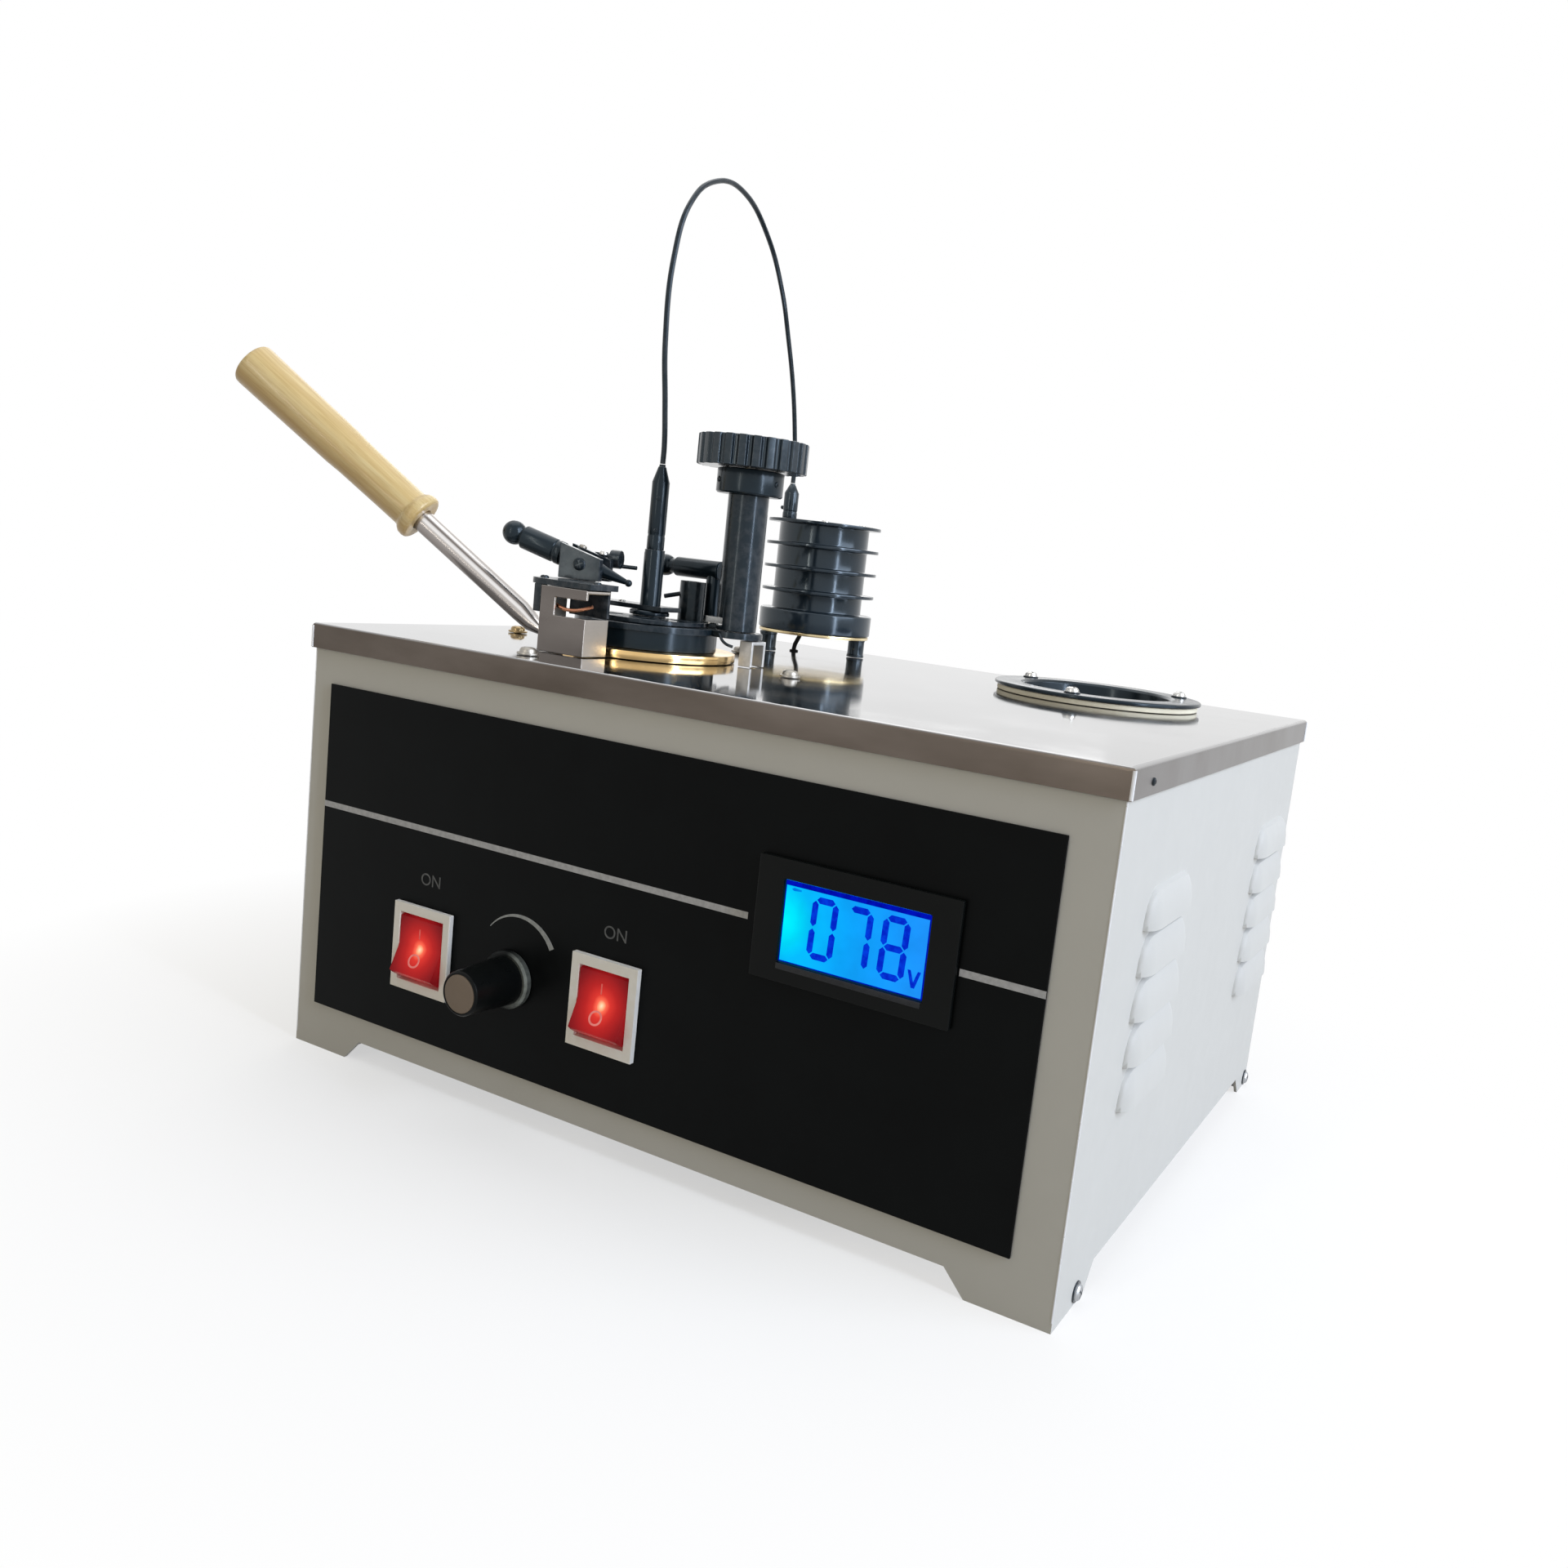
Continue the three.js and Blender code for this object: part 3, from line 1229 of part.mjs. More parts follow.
function buildPilotLamp(group) {
  const barrel = turned([
    [0, pilotLeft], [pilotRadius, pilotLeft], [pilotRadius, pilotRight], [0, pilotRight],
  ], smallSides);
  const neckEnd = pilotLeft - pilotNeckLength;
  const beadCentre = neckEnd - Math.sqrt(pilotBeadRadius ** 2 - pilotNeckRadius ** 2);
  const tail = beadProfile(pilotBeadRadius, -beadCentre, pilotNeckRadius).map(([r, z]) => [r, -z]);
  const bead = turned([...tail.reverse(), [pilotNeckRadius, pilotLeft + overrun], [0, pilotLeft + overrun]],
    smallSides);
  const lamp = join(
    moved(alongX(barrel), 0, 0, pilotZ),
    moved(alongX(bead), 0, 0, pilotZ),
    moved(rod(pilotPostRadius, lidDiscTop + seat, pilotZ, smallSides), pilotX, 0),
  );
  add(group, 'pilot_lamp', moved(lamp, 0, pilotY), blackPaint);
}

// Brackets on the cover

function buildBrackets(group) {
  const front = cut(
    join(
      block(bracketLeft, bracketRight, bracketFront, bracketFront + bracketSheet, seat, bracketHeight),
      block(bracketLeft, bracketLeft + bracketSheet, bracketFront, bracketBack, seat, bracketHeight),
      block(bracketRight - bracketSheet, bracketRight, bracketFront, bracketBack, seat, bracketStep),
      block(bracketLeft, bracketRight, bracketFront, bracketBack, bracketHeight - bracketSheet,
        bracketHeight),
    ),
    block(bracketSlotLeft, bracketRight + overrun, bracketFront - overrun, bracketFront + bracketSheet
      + overrun, bracketStep, bracketSlotTop),
  );
  add(group, 'front_bracket', front, stainless);

  const right = sideBracketLeft + sideBracketWidth;
  const back = sideBracketFront + sideBracketDepth;
  const side = join(
    block(sideBracketLeft, right, sideBracketFront, sideBracketFront + bracketSheet, seat,
      sideBracketHeight),
    block(sideBracketLeft, right, back - bracketSheet, back, seat, sideBracketHeight),
    block(sideBracketLeft, right, sideBracketFront, back, sideBracketHeight - bracketSheet,
      sideBracketHeight),
  );
  add(group, 'side_bracket', side, stainless);
}

// Stirring motor

function buildMotor(group) {
  const legNames = ['front', 'rear'];
  for (let k = 0; k < legNames.length; k += 1) {
    const [x, y] = polar(legCircle, legAzimuth + 180 * (k + 1));
    add(group, `motor_leg_${legNames[k]}`, moved(rod(legRadius, seat, legHeight), x, y), blackPaint);
  }
  const plateLow = legHeight + seat;
  const leadHole = moved(rod(leadRadius + seat, plateLow - overrun, motorLow + leadInside + overrun,
    thinSides), leadX, 0);
  const base = rod(motorPlateRadius, plateLow, plateLow + motorPlateThick, wideSides);
  add(group, 'motor_plate', cut(base, leadHole), brass);

  const profile = [
    [0, motorLow], [motorFlangeRadius, motorLow], [motorFlangeRadius, motorLow + motorFlangeHeight],
    [motorRadius, motorLow + motorFlangeHeight],
  ];
  for (let fin = 0; fin < finCount; fin += 1) {
    const low = motorLow + firstFin + fin * finPitch - finThick / 2;
    profile.push([motorRadius, low], [motorFlangeRadius, low], [motorFlangeRadius, low + finThick]);
    if (fin < finCount - 1) profile.push([motorRadius, low + finThick]);
  }
  profile.push([0, motorTop]);
  const bore = moved(rod(spindleRadius + running, motorTop - spindleInside - running, motorTop + overrun,
    smallSides), spindleX, spindleY);
  const leadBore = moved(rod(leadRadius + seat, motorLow - overrun, motorLow + leadInside,
    thinSides), leadX, 0);
  add(group, 'motor_housing', cut(turned(profile, wideSides), bore, leadBore), blackPaint);

  const spindle = rod(spindleRadius, motorTop - spindleInside, ferruleLow + spindleOutside, smallSides);
  add(group, 'motor_spindle', moved(spindle, spindleX, spindleY), springSteel);
  const shoulder = ferruleLow + ferruleHeight;
  const boreTop = ferruleLow + spindleOutside + seat;
  const ferrule = join(
    turned([
      [spindleRadius + seat, ferruleLow], [ferruleRadius, ferruleLow], [ferruleRadius, shoulder],
      [couplingTipRadius, ferruleTop], [0, ferruleTop], [0, boreTop], [spindleRadius + seat, boreTop],
      [spindleRadius + seat, ferruleLow],
    ]),
    moved(alongX(rod(setScrewRadius, -ferruleRadius - setScrewLength, -ferruleRadius + setScrewLength / 2,
      thinSides)), 0, 0, ferruleLow + setScrewRise),
  );
  add(group, 'spindle_ferrule', moved(ferrule, spindleX, spindleY), blackened);

  const leadTop = motorLow + leadInside - seat;
  const bendTop = plateLow - leadBend / 2;
  const lead = tubeAlong([
    new THREE.Vector3(leadX, 0, leadTop), new THREE.Vector3(leadX, 0, plateLow),
    new THREE.Vector3(leadX, 0, bendTop), new THREE.Vector3(leadX - leadBend, 0, leadBend),
    new THREE.Vector3(leadX - leadBend, 0, 0), new THREE.Vector3(leadX - leadBend, 0, -leadInside),
  ], leadRadius, leadSteps);
  add(group, 'motor_lead', lead, blackPlastic);
}

// Flexible shaft, in the lid's place so that it lifts with the lid.
function buildFlexibleShaft(group) {
  const start = new THREE.Vector3(0, 0, couplingTop + couplingConeHeight + seat);
  const spindle = new THREE.Vector3(motorX + spindleX - wellX, motorY + spindleY - wellY, ferruleTop + seat);
  const points = [start, start.clone().setZ(start.z + shaftEndRun)];
  for (const [along, up] of shaftRouteShares) {
    points.push(new THREE.Vector3(spindle.x * along, spindle.y * along, start.z + shaftRise * up));
  }
  points.push(spindle.clone().setZ(spindle.z + shaftEndRun), spindle);
  add(group, 'flexible_shaft', tubeAlong(points, shaftRadius, shaftSteps), blackened);
}

// Rest well

function buildRestWell(group) {
  const gasket = ring(restBowlRadius + running, gasketRadius, seat, seat + gasketThick, wideSides);
  add(group, 'well_gasket', gasket, ceramic);
  const flangeLow = seat + gasketThick + seat;
  const inner = restBowlRadius - restBowlWall;
  const bowl = turned([
    [0, -restBowlDepth], [restBowlRadius, -restBowlDepth], [restBowlRadius, flangeLow],
    [restFlangeRadius, flangeLow], [restFlangeRadius, flangeLow + restFlangeThick],
    [inner, flangeLow + restFlangeThick], [inner, -restBowlDepth + restBowlWall],
    [0, -restBowlDepth + restBowlWall],
  ], wideSides);
  add(group, 'rest_well', bowl, blackPaint);
}

// The whole tester

function placed(parent, x, y, z) {
  const group = new THREE.Group();
  group.position.set(x, y, z);
  parent.add(group);
  return group;
}

const tester = new THREE.Group();
tester.name = 'flash_point_tester';
const bench = placed(tester, 0, 0, 0);
buildCase(bench);
buildBoard(bench);
buildFrontPanel(bench);
const well = placed(bench, wellX, wellY, caseHeight);
buildStove(well);
buildCup(well);
buildLid(well);
buildBrackets(well);
buildFlexibleShaft(well);
buildMotor(placed(bench, motorX, motorY, caseHeight));
buildRestWell(placed(bench, restX, restY, caseHeight));

// The origin is the middle of the whole tester's footprint, at bench level.
tester.updateMatrixWorld(true);
const middle = new THREE.Box3().setFromObject(tester, true).getCenter(new THREE.Vector3());
bench.position.set(-middle.x, -middle.y, 0);

export default tester;
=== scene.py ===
"""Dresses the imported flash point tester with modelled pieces, finishes and a plain studio."""

import logging
import math
from contextlib import contextmanager
from dataclasses import dataclass, field
from enum import Enum
from typing import Iterator, Sequence

import bpy
from mathutils import Euler, Matrix, Vector


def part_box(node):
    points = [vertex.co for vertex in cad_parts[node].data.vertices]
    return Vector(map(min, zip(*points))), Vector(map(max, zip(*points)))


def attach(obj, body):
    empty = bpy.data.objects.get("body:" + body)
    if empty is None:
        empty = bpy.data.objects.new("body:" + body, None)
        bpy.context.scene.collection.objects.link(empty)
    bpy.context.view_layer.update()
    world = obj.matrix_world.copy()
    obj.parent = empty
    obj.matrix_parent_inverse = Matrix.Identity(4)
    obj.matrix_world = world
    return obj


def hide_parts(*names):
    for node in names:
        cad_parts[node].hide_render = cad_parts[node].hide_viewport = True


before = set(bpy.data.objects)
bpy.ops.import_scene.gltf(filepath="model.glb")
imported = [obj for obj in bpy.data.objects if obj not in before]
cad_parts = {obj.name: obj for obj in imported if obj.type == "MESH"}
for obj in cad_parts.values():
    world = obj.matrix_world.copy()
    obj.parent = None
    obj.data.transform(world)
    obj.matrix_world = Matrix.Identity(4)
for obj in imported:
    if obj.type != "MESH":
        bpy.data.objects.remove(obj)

log = logging.getLogger("flash_point_tester")

MM = 0.001
UP = Vector((0.0, 0.0, 1.0))
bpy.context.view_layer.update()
WELD = MM * 0.002
PHOTO_SIDE = 1920.0

Profile = Sequence[tuple[float, float]]
Colour = tuple[float, float, float]


def centre_of(node: str) -> Vector:
    """Find the middle of a CAD node.

    Args:
        node: the node's name.

    Returns:
        The middle of its box, in metres.
    """
    low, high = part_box(node)
    return (low + high) / 2


MIDDLE = centre_of("top_cover")
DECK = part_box("top_cover")[1].z


def on_case(x: float, y: float, z: float) -> Vector:
    """Turn millimetres from the case's middle at bench level into the scene's metres."""
    return Vector((MIDDLE.x + x * MM, MIDDLE.y + y * MM, z * MM))


def on_deck(axis: Vector, x: float = 0.0, y: float = 0.0, z: float = 0.0) -> Vector:
    """Turn millimetres from an upright axis at the cover's top face into the scene's metres."""
    return Vector((axis.x + x * MM, axis.y + y * MM, DECK + z * MM))


def around(radius: float, degrees: float) -> tuple[float, float]:
    """Give x and y of a point on a circle."""
    turn = math.radians(degrees)
    return radius * math.cos(turn), radius * math.sin(turn)


# Modelling


def select_only(piece: bpy.types.Object) -> None:
    """Select one object and nothing else."""
    bpy.ops.object.select_all(action="DESELECT")
    piece.select_set(True)
    bpy.context.view_layer.objects.active = piece


@contextmanager
def editing(piece: bpy.types.Object, action: str = "SELECT") -> Iterator[None]:
    """Open a piece in edit mode.

    Args:
        piece: the mesh to shape.
        action: what to do with the selection at the start, SELECT or DESELECT.

    Returns:
        A context in which mesh operators act on the piece.
    """
    select_only(piece)
    bpy.ops.object.mode_set(mode="EDIT")
    bpy.ops.mesh.select_all(action=action)
    yield
    bpy.ops.object.mode_set(mode="OBJECT")


def settle(piece: bpy.types.Object) -> bpy.types.Object:
    """Put a piece's place, turn and scale into its mesh."""
    select_only(piece)
    bpy.ops.object.transform_apply(location=True, rotation=True, scale=True)
    return piece


def placed(
    piece: bpy.types.Object, centre: Vector, along: Vector = UP, roll: float = 0.0
) -> bpy.types.Object:
    """Stand a piece that was modelled on the origin at its place.

    Args:
        piece: the piece, modelled along +Z.
        centre: where its origin goes.
        along: where its +Z goes.
        roll: degrees it is first turned about its own +Z.

    Returns:
        The same piece.
    """
    piece.rotation_mode = "QUATERNION"
    aim = UP.rotation_difference(along.normalized())
    piece.rotation_quaternion = aim @ Euler((0.0, 0.0, math.radians(roll))).to_quaternion()
    piece.location = centre
    return settle(piece)


def rounded(piece: bpy.types.Object, edge: float, segments: int = 2, angle: float = 32.0) -> bpy.types.Object:
    """Break a piece's sharp edges and smooth its shading.

    Args:
        piece: the mesh.
        edge: width of the rounding in millimetres, or 0 for none.
        segments: steps across the rounding.
        angle: edges sharper than this, in degrees, are rounded.

    Returns:
        The same piece.
    """
    if edge:
        bevel = piece.modifiers.new("Edges", "BEVEL")
        bevel.width = edge * MM
        bevel.segments = segments
        bevel.limit_method = "ANGLE"
        bevel.angle_limit = math.radians(angle)
        select_only(piece)
        bpy.ops.object.modifier_apply(modifier=bevel.name)
    select_only(piece)
    bpy.ops.object.shade_smooth_by_angle(angle=math.radians(angle))
    return piece


def named(name: str) -> bpy.types.Object:
    """Name the object that an operator has just added."""
    piece = bpy.context.object
    piece.name = name
    piece.data.name = name
    return piece


def drawn(name: str, points: Sequence[Vector]) -> bpy.types.Object:
    """Draw a chain of edges by extruding one vertex from point to point.

    Args:
        name: the new object's name.
        points: the chain's points in metres.

    Returns:
        The new object, with its last vertex selected.
    """
    bpy.ops.object.select_all(action="DESELECT")
    bpy.ops.mesh.primitive_plane_add(size=MM, location=points[0])
    piece = named(name)
    settle(piece)
    with editing(piece):
        bpy.ops.mesh.merge(type="CENTER")
        for before, after in zip(points, points[1:]):
            step = tuple(after - before)
            bpy.ops.mesh.extrude_region_move(TRANSFORM_OT_translate={"value": step})
    return piece


def turned(
    name: str,
    profile: Profile,
    centre: Vector,
    along: Vector = UP,
    steps: int = 72,
    edge: float = 0.3,
) -> bpy.types.Object:
    """Turn a piece as on a lathe.

    Args:
        name: the piece's name.
        profile: radius and height points in millimetres, closed on the axis or on itself.
        centre: where the profile's origin goes.
        along: where the lathe's axis points.
        steps: facets round the piece.
        edge: rounding of its edges in millimetres.

    Returns:
        The finished piece.
    """
    piece = drawn(name, [Vector((radius * MM, 0.0, height * MM)) for radius, height in profile])
    with editing(piece):
        bpy.ops.mesh.spin(steps=steps, angle=math.tau, center=(0.0, 0.0, 0.0), axis=(0.0, 0.0, 1.0))
        bpy.ops.mesh.select_all(action="SELECT")
        bpy.ops.mesh.remove_doubles(threshold=WELD)
        bpy.ops.mesh.normals_make_consistent(inside=False)
    return rounded(placed(piece, centre, along), edge)


def from_solid(node: str, name: str, edge: float, segments: int = 2, angle: float = 32.0) -> bpy.types.Object:
    """Work up a CAD node's own shape into a finished piece with broken edges.

    Args:
        node: the CAD node.
        name: the new piece's name.
        edge: rounding in millimetres.
        segments: steps across the rounding.
        angle: edges sharper than this, in degrees, are rounded.

    Returns:
        The new piece, which still has to be fitted to its body.
    """
    piece = bpy.data.objects.new(name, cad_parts[node].data.copy())
    piece.data.name = name
    piece.data.materials.clear()
    bpy.context.scene.collection.objects.link(piece)
    with editing(piece):
        bpy.ops.mesh.remove_doubles(threshold=WELD)
        bpy.ops.mesh.dissolve_limited(angle_limit=math.radians(0.6))
    return flattened(rounded(piece, edge, segments, angle))


def flattened(piece: bpy.types.Object) -> bpy.types.Object:
    """Let a piece's large faces shade flat beside its rounded edges."""
    weigh = piece.modifiers.new("Flat faces", "WEIGHTED_NORMAL")
    weigh.weight = 80
    weigh.keep_sharp = True
    select_only(piece)
    bpy.ops.object.modifier_apply(modifier=weigh.name)
    return piece


def combine(piece: bpy.types.Object, tools: Sequence[bpy.types.Object], operation: str) -> bpy.types.Object:
    """Join solids to a piece, or cut them out of it.

    Args:
        piece: the piece to change.
        tools: the solids, which are used up.
        operation: UNION or DIFFERENCE.

    Returns:
        The same piece.
    """
    for tool in tools:
        change = piece.modifiers.new("Combine", "BOOLEAN")
        change.operation = operation
        change.solver = "EXACT"
        change.object = tool
        select_only(piece)
        bpy.ops.object.modifier_apply(modifier=change.name)
        bpy.data.objects.remove(tool)
    return piece


def bar(name: str, low: Vector, high: Vector, edge: float = 0.3) -> bpy.types.Object:
    """Model a rectangular bar with broken edges between two corners."""
    bpy.ops.object.select_all(action="DESELECT")
    bpy.ops.mesh.primitive_cube_add(size=1.0, location=(low + high) / 2)
    piece = named(name)
    piece.scale = high - low
    return rounded(settle(piece), edge)


def wired(name: str, curve: bpy.types.Curve) -> bpy.types.Object:
    """Turn a curve with a round section into a mesh piece with closed ends."""
    curve.use_fill_caps = True
    piece = bpy.data.objects.new(name, curve)
    bpy.context.scene.collection.objects.link(piece)
    select_only(piece)
    bpy.ops.object.convert(target="MESH")
    piece = named(name)
    with editing(piece):
        bpy.ops.mesh.remove_doubles(threshold=WELD)
    return rounded(piece, 0.0)


def swept(
    name: str, points: Sequence[Vector], radius: float, sides: int = 16, smooth: int = 6
) -> bpy.types.Object:
    """Draw a round wire or tube through points.

    Args:
        name: the piece's name.
        points: the route in metres.
        radius: the wire's radius in millimetres.
        sides: facets round the wire.
        smooth: steps of the route between two points.

    Returns:
        A mesh piece with closed ends.
    """
    curve = bpy.data.curves.new(name, "CURVE")
    curve.dimensions = "3D"
    spline = curve.splines.new("NURBS")
    spline.points.add(len(points) - 1)
    for knot, point in zip(spline.points, points):
        knot.co = (*point, 1.0)
    spline.order_u = min(4, len(points))
    spline.use_endpoint_u = True
    spline.resolution_u = smooth
    curve.bevel_depth = radius * MM
    curve.bevel_resolution = max(0, sides // 4 - 1)
    return wired(name, curve)


def flat_mark(name: str, outline: Sequence[tuple[float, float]], depth: float) -> bpy.types.Object:
    """Cut a thin mark that faces the front.

    Args:
        name: the piece's name.
        outline: its corners as x and z in millimetres.
        depth: how far it is drawn out along y, in millimetres.

    Returns:
        The mark, on the origin.
    """
    piece = drawn(name, [Vector((x * MM, 0.0, z * MM)) for x, z in outline])
    with editing(piece):
        bpy.ops.mesh.edge_face_add()
        bpy.ops.mesh.extrude_region_move(TRANSFORM_OT_translate={"value": (0.0, depth * MM, 0.0)})
        bpy.ops.mesh.select_all(action="SELECT")
        bpy.ops.mesh.normals_make_consistent(inside=False)
    return piece


def lettering(
    name: str, words: str, height: float, centre: Vector, tip: float, depth: float = 0.04
) -> bpy.types.Object:
    """Raise a generic mark such as ON on a surface that faces the front.

    Args:
        name: the piece's name.
        words: the mark.
        height: the letters' height in millimetres.
        centre: where the mark's middle goes.
        tip: degrees the surface leans back from upright.
        depth: how far the mark stands proud, in millimetres.

    Returns:
        The finished mark.
    """
    bpy.ops.object.select_all(action="DESELECT")
    bpy.ops.object.text_add(location=(0.0, 0.0, 0.0))
    text = bpy.context.object
    text.data.body = words
    text.data.size = height * MM * 1.38
    text.data.align_x = "CENTER"
    text.data.align_y = "CENTER"
    text.data.extrude = depth * MM
    bpy.ops.object.convert(target="MESH")
    piece = named(name)
    with editing(piece):
        bpy.ops.mesh.remove_doubles(threshold=MM * 0.0005)
        bpy.ops.mesh.normals_make_consistent(inside=False)
    piece.rotation_euler = (math.radians(90.0 - tip), 0.0, 0.0)
    piece.location = centre
    return settle(piece)


# Finishes


class Surface:
    """One procedural material under construction."""

    def __init__(self, name: str, values: dict[str, object]) -> None:
        """Start a material.

        Args:
            name: the material's name.
            values: constant values of the shader's own sockets.
        """
        self.material = bpy.data.materials.new(name)
        self.material.use_nodes = True
        self.tree = self.material.node_tree
        self.shader = self.tree.nodes["Principled BSDF"]
        self.place = self.tree.nodes.new("ShaderNodeTexCoord").outputs["Object"]
        for socket, value in values.items():
            self.shader.inputs[socket].default_value = value

    def node(self, kind: str, settings: dict[str, object], inputs: dict[object, object]) -> bpy.types.Node:
        """Add a node.

        Args:
            kind: the node's type.
            settings: properties to set on it.
            inputs: sockets by name or number, each a constant or another node's output.

        Returns:
            The node.
        """
        node = self.tree.nodes.new(kind)
        for key, value in settings.items():
            setattr(node, key, value)
        for key, value in inputs.items():
            if isinstance(value, bpy.types.NodeSocket):
                self.tree.links.new(value, node.inputs[key])
            else:
                node.inputs[key].default_value = value
        return node

    def mapped(
        self, shift: Vector = Vector(), turn: Colour = (0.0, 0.0, 0.0), scale: Colour = (1.0, 1.0, 1.0)
    ):
        """Centre, turn and stretch the object's coordinates.

        Args:
            shift: the point in metres that becomes the pattern's origin.
            turn: degrees about each axis.
            scale: stretch along each axis.

        Returns:
            The mapped coordinates.
        """
        centred = self.node(
            "ShaderNodeVectorMath", {"operation": "SUBTRACT"}, {0: self.place, 1: tuple(shift)}
        ).outputs[0]
        angles = tuple(math.radians(a) for a in turn)
        lined = self.node("ShaderNodeMapping", {}, {"Vector": centred, "Rotation": angles}).outputs[0]
        return self.node("ShaderNodeMapping", {}, {"Vector": lined, "Scale": scale}).outputs[0]

    def noise(self, scale: float, detail: float = 4.0, where: object = None, roughness: float = 0.55):
        """Add a noise pattern of a scale per metre and return its strength."""
        inputs = {"Vector": where or self.place, "Scale": scale, "Detail": detail, "Roughness": roughness}
        return self.node("ShaderNodeTexNoise", {}, inputs).outputs[0]

    def graded(self, value: object, low: float, high: float, floor: float, ceiling: float):
        """Map a value from one range to another and return it."""
        inputs = {"Value": value, "From Min": low, "From Max": high, "To Min": floor, "To Max": ceiling}
        return self.node("ShaderNodeMapRange", {}, inputs).outputs[0]

    def ramp(self, value: object, stops: Sequence[tuple[float, Colour]]):
        """Colour a value by stops of position and colour and return the colour."""
        node = self.node("ShaderNodeValToRGB", {}, {0: value})
        band = node.color_ramp
        while len(band.elements) < len(stops):
            band.elements.new(0.5)
        for element, (position, colour) in zip(band.elements, stops):
            element.position = position
            element.color = (*colour, 1.0)
        return node.outputs[0]

    def mixed(self, amount: object, first: object, second: object):
        """Mix two colours, or sockets that carry them, and return the mix."""
        mix = self.tree.nodes.new("ShaderNodeMix")
        mix.data_type = "RGBA"
        for socket, value in ((mix.inputs[0], amount), (mix.inputs[6], first), (mix.inputs[7], second)):
            if isinstance(value, bpy.types.NodeSocket):
                self.tree.links.new(value, socket)
            else:
                socket.default_value = (*value, 1.0) if isinstance(value, tuple) else value
        return mix.outputs[2]

    def facing(self) -> bpy.types.NodeSocket:
        """Give the direction that a spot of the surface faces, in the object's own axes."""
        return self.node("ShaderNodeTexCoord", {}, {}).outputs["Normal"]

    def distance(self, where: object) -> bpy.types.NodeSocket:
        """Give how far mapped coordinates lie from their origin."""
        return self.node("ShaderNodeVectorMath", {"operation": "LENGTH"}, {0: where}).outputs["Value"]

    def maths(self, operation: str, first: object, second: object = 0.0):
        """Combine two values and return the result."""
        return self.node("ShaderNodeMath", {"operation": operation}, {0: first, 1: second}).outputs[0]

    def bump(self, height: object, depth: float, strength: float = 1.0) -> None:
        """Roughen the surface by a height pattern, depth in millimetres."""
        inputs = {"Height": height, "Distance": depth * MM, "Strength": strength}
        self.link(self.node("ShaderNodeBump", {}, inputs).outputs[0], "Normal")

    def link(self, output: object, socket: str) -> None:
        """Drive one of the shader's sockets."""
        self.tree.links.new(output, self.shader.inputs[socket])

    def worn_edges(self, threshold: float = 0.53, spread: float = 0.05):
        """Find convex edges that hands and tools have rubbed, and return the mask."""
        edge = self.tree.nodes.new("ShaderNodeNewGeometry").outputs["Pointiness"]
        mask = self.graded(edge, threshold, threshold + spread, 0.0, 1.0)
        patch = self.graded(self.noise(260.0, 3.0), 0.42, 0.62, 0.15, 1.0)
        return self.maths("MULTIPLY", mask, patch)


@dataclass(frozen=True)
class Coating:
    """A painted or moulded surface with fine mottling.

    Attributes:
        name: the material's name.
        colour: its main colour.
        shade: the colour of its darker patches.
        wear: the colour of rubbed edges, or the main colour where nothing shows.
        roughness: lowest and highest roughness.
        grain: size of the fine bump in bumps per metre.
        depth: depth of that bump in millimetres.
        coat: strength of a clear coat.
        gloss: roughness of that coat.
        metal: how metallic the surface is.
        specular: how strongly it mirrors, where 0.5 is plain plastic.
        mottle: how strongly the darker patches show.
        tint: the colour of its reflections.
    """

    name: str
    colour: Colour
    shade: Colour
    wear: Colour | None = None
    roughness: tuple[float, float] = (0.4, 0.5)
    grain: float = 1800.0
    depth: float = 0.02
    coat: float = 0.0
    metal: float = 0.0
    specular: float = 0.5
    mottle: float = 1.0
    tint: Colour = (1.0, 1.0, 1.0)
    gloss: float = 0.12

    def material(self) -> bpy.types.Material:
        """Build the material."""
        values = {
            "Metallic": self.metal,
            "Coat Weight": self.coat,
            "Coat Roughness": self.gloss,
            "Specular IOR Level": self.specular,
            "Specular Tint": (*self.tint, 1.0),
        }
        surface = Surface(self.name, values)
        patches = surface.noise(38.0, 5.0)
        amount = surface.graded(patches, 0.35, 0.7, 1.0 - self.mottle, 1.0)
        colour = surface.mixed(amount, self.shade, self.colour)
        if self.wear:
            colour = surface.mixed(surface.worn_edges(), colour, self.wear)
        surface.link(colour, "Base Color")
        low, high = self.roughness
        surface.link(surface.graded(surface.noise(120.0, 4.0), 0.3, 0.7, low, high), "Roughness")
        surface.bump(surface.noise(self.grain, 2.0), self.depth)
        return surface.material


@dataclass(frozen=True)
class Metal:
    """A bare metal with brushing along one direction.

    Attributes:
        name: the material's name.
        colour: its main colour.
        shade: the colour of stains and darker bands.
        roughness: lowest and highest roughness.
        brush: stretch of the brushing along x, y and z; small along the strokes.
        depth: depth of the strokes in millimetres.
    """

    name: str
    colour: Colour
    shade: Colour
    roughness: tuple[float, float] = (0.16, 0.28)
    brush: Colour = (0.04, 1.0, 1.0)
    depth: float = 0.004

    def material(self) -> bpy.types.Material:
        """Build the material."""
        surface = Surface(self.name, {"Metallic": 1.0})
        strokes = surface.noise(900.0, 3.0, surface.mapped(scale=self.brush))
        stains = surface.noise(26.0, 5.0)
        surface.link(
            surface.mixed(surface.graded(stains, 0.38, 0.72, 0.0, 1.0), self.shade, self.colour), "Base Color"
        )
        low, high = self.roughness
        surface.link(surface.graded(strokes, 0.3, 0.7, low, high), "Roughness")
        surface.bump(strokes, self.depth, 0.6)
        return surface.material


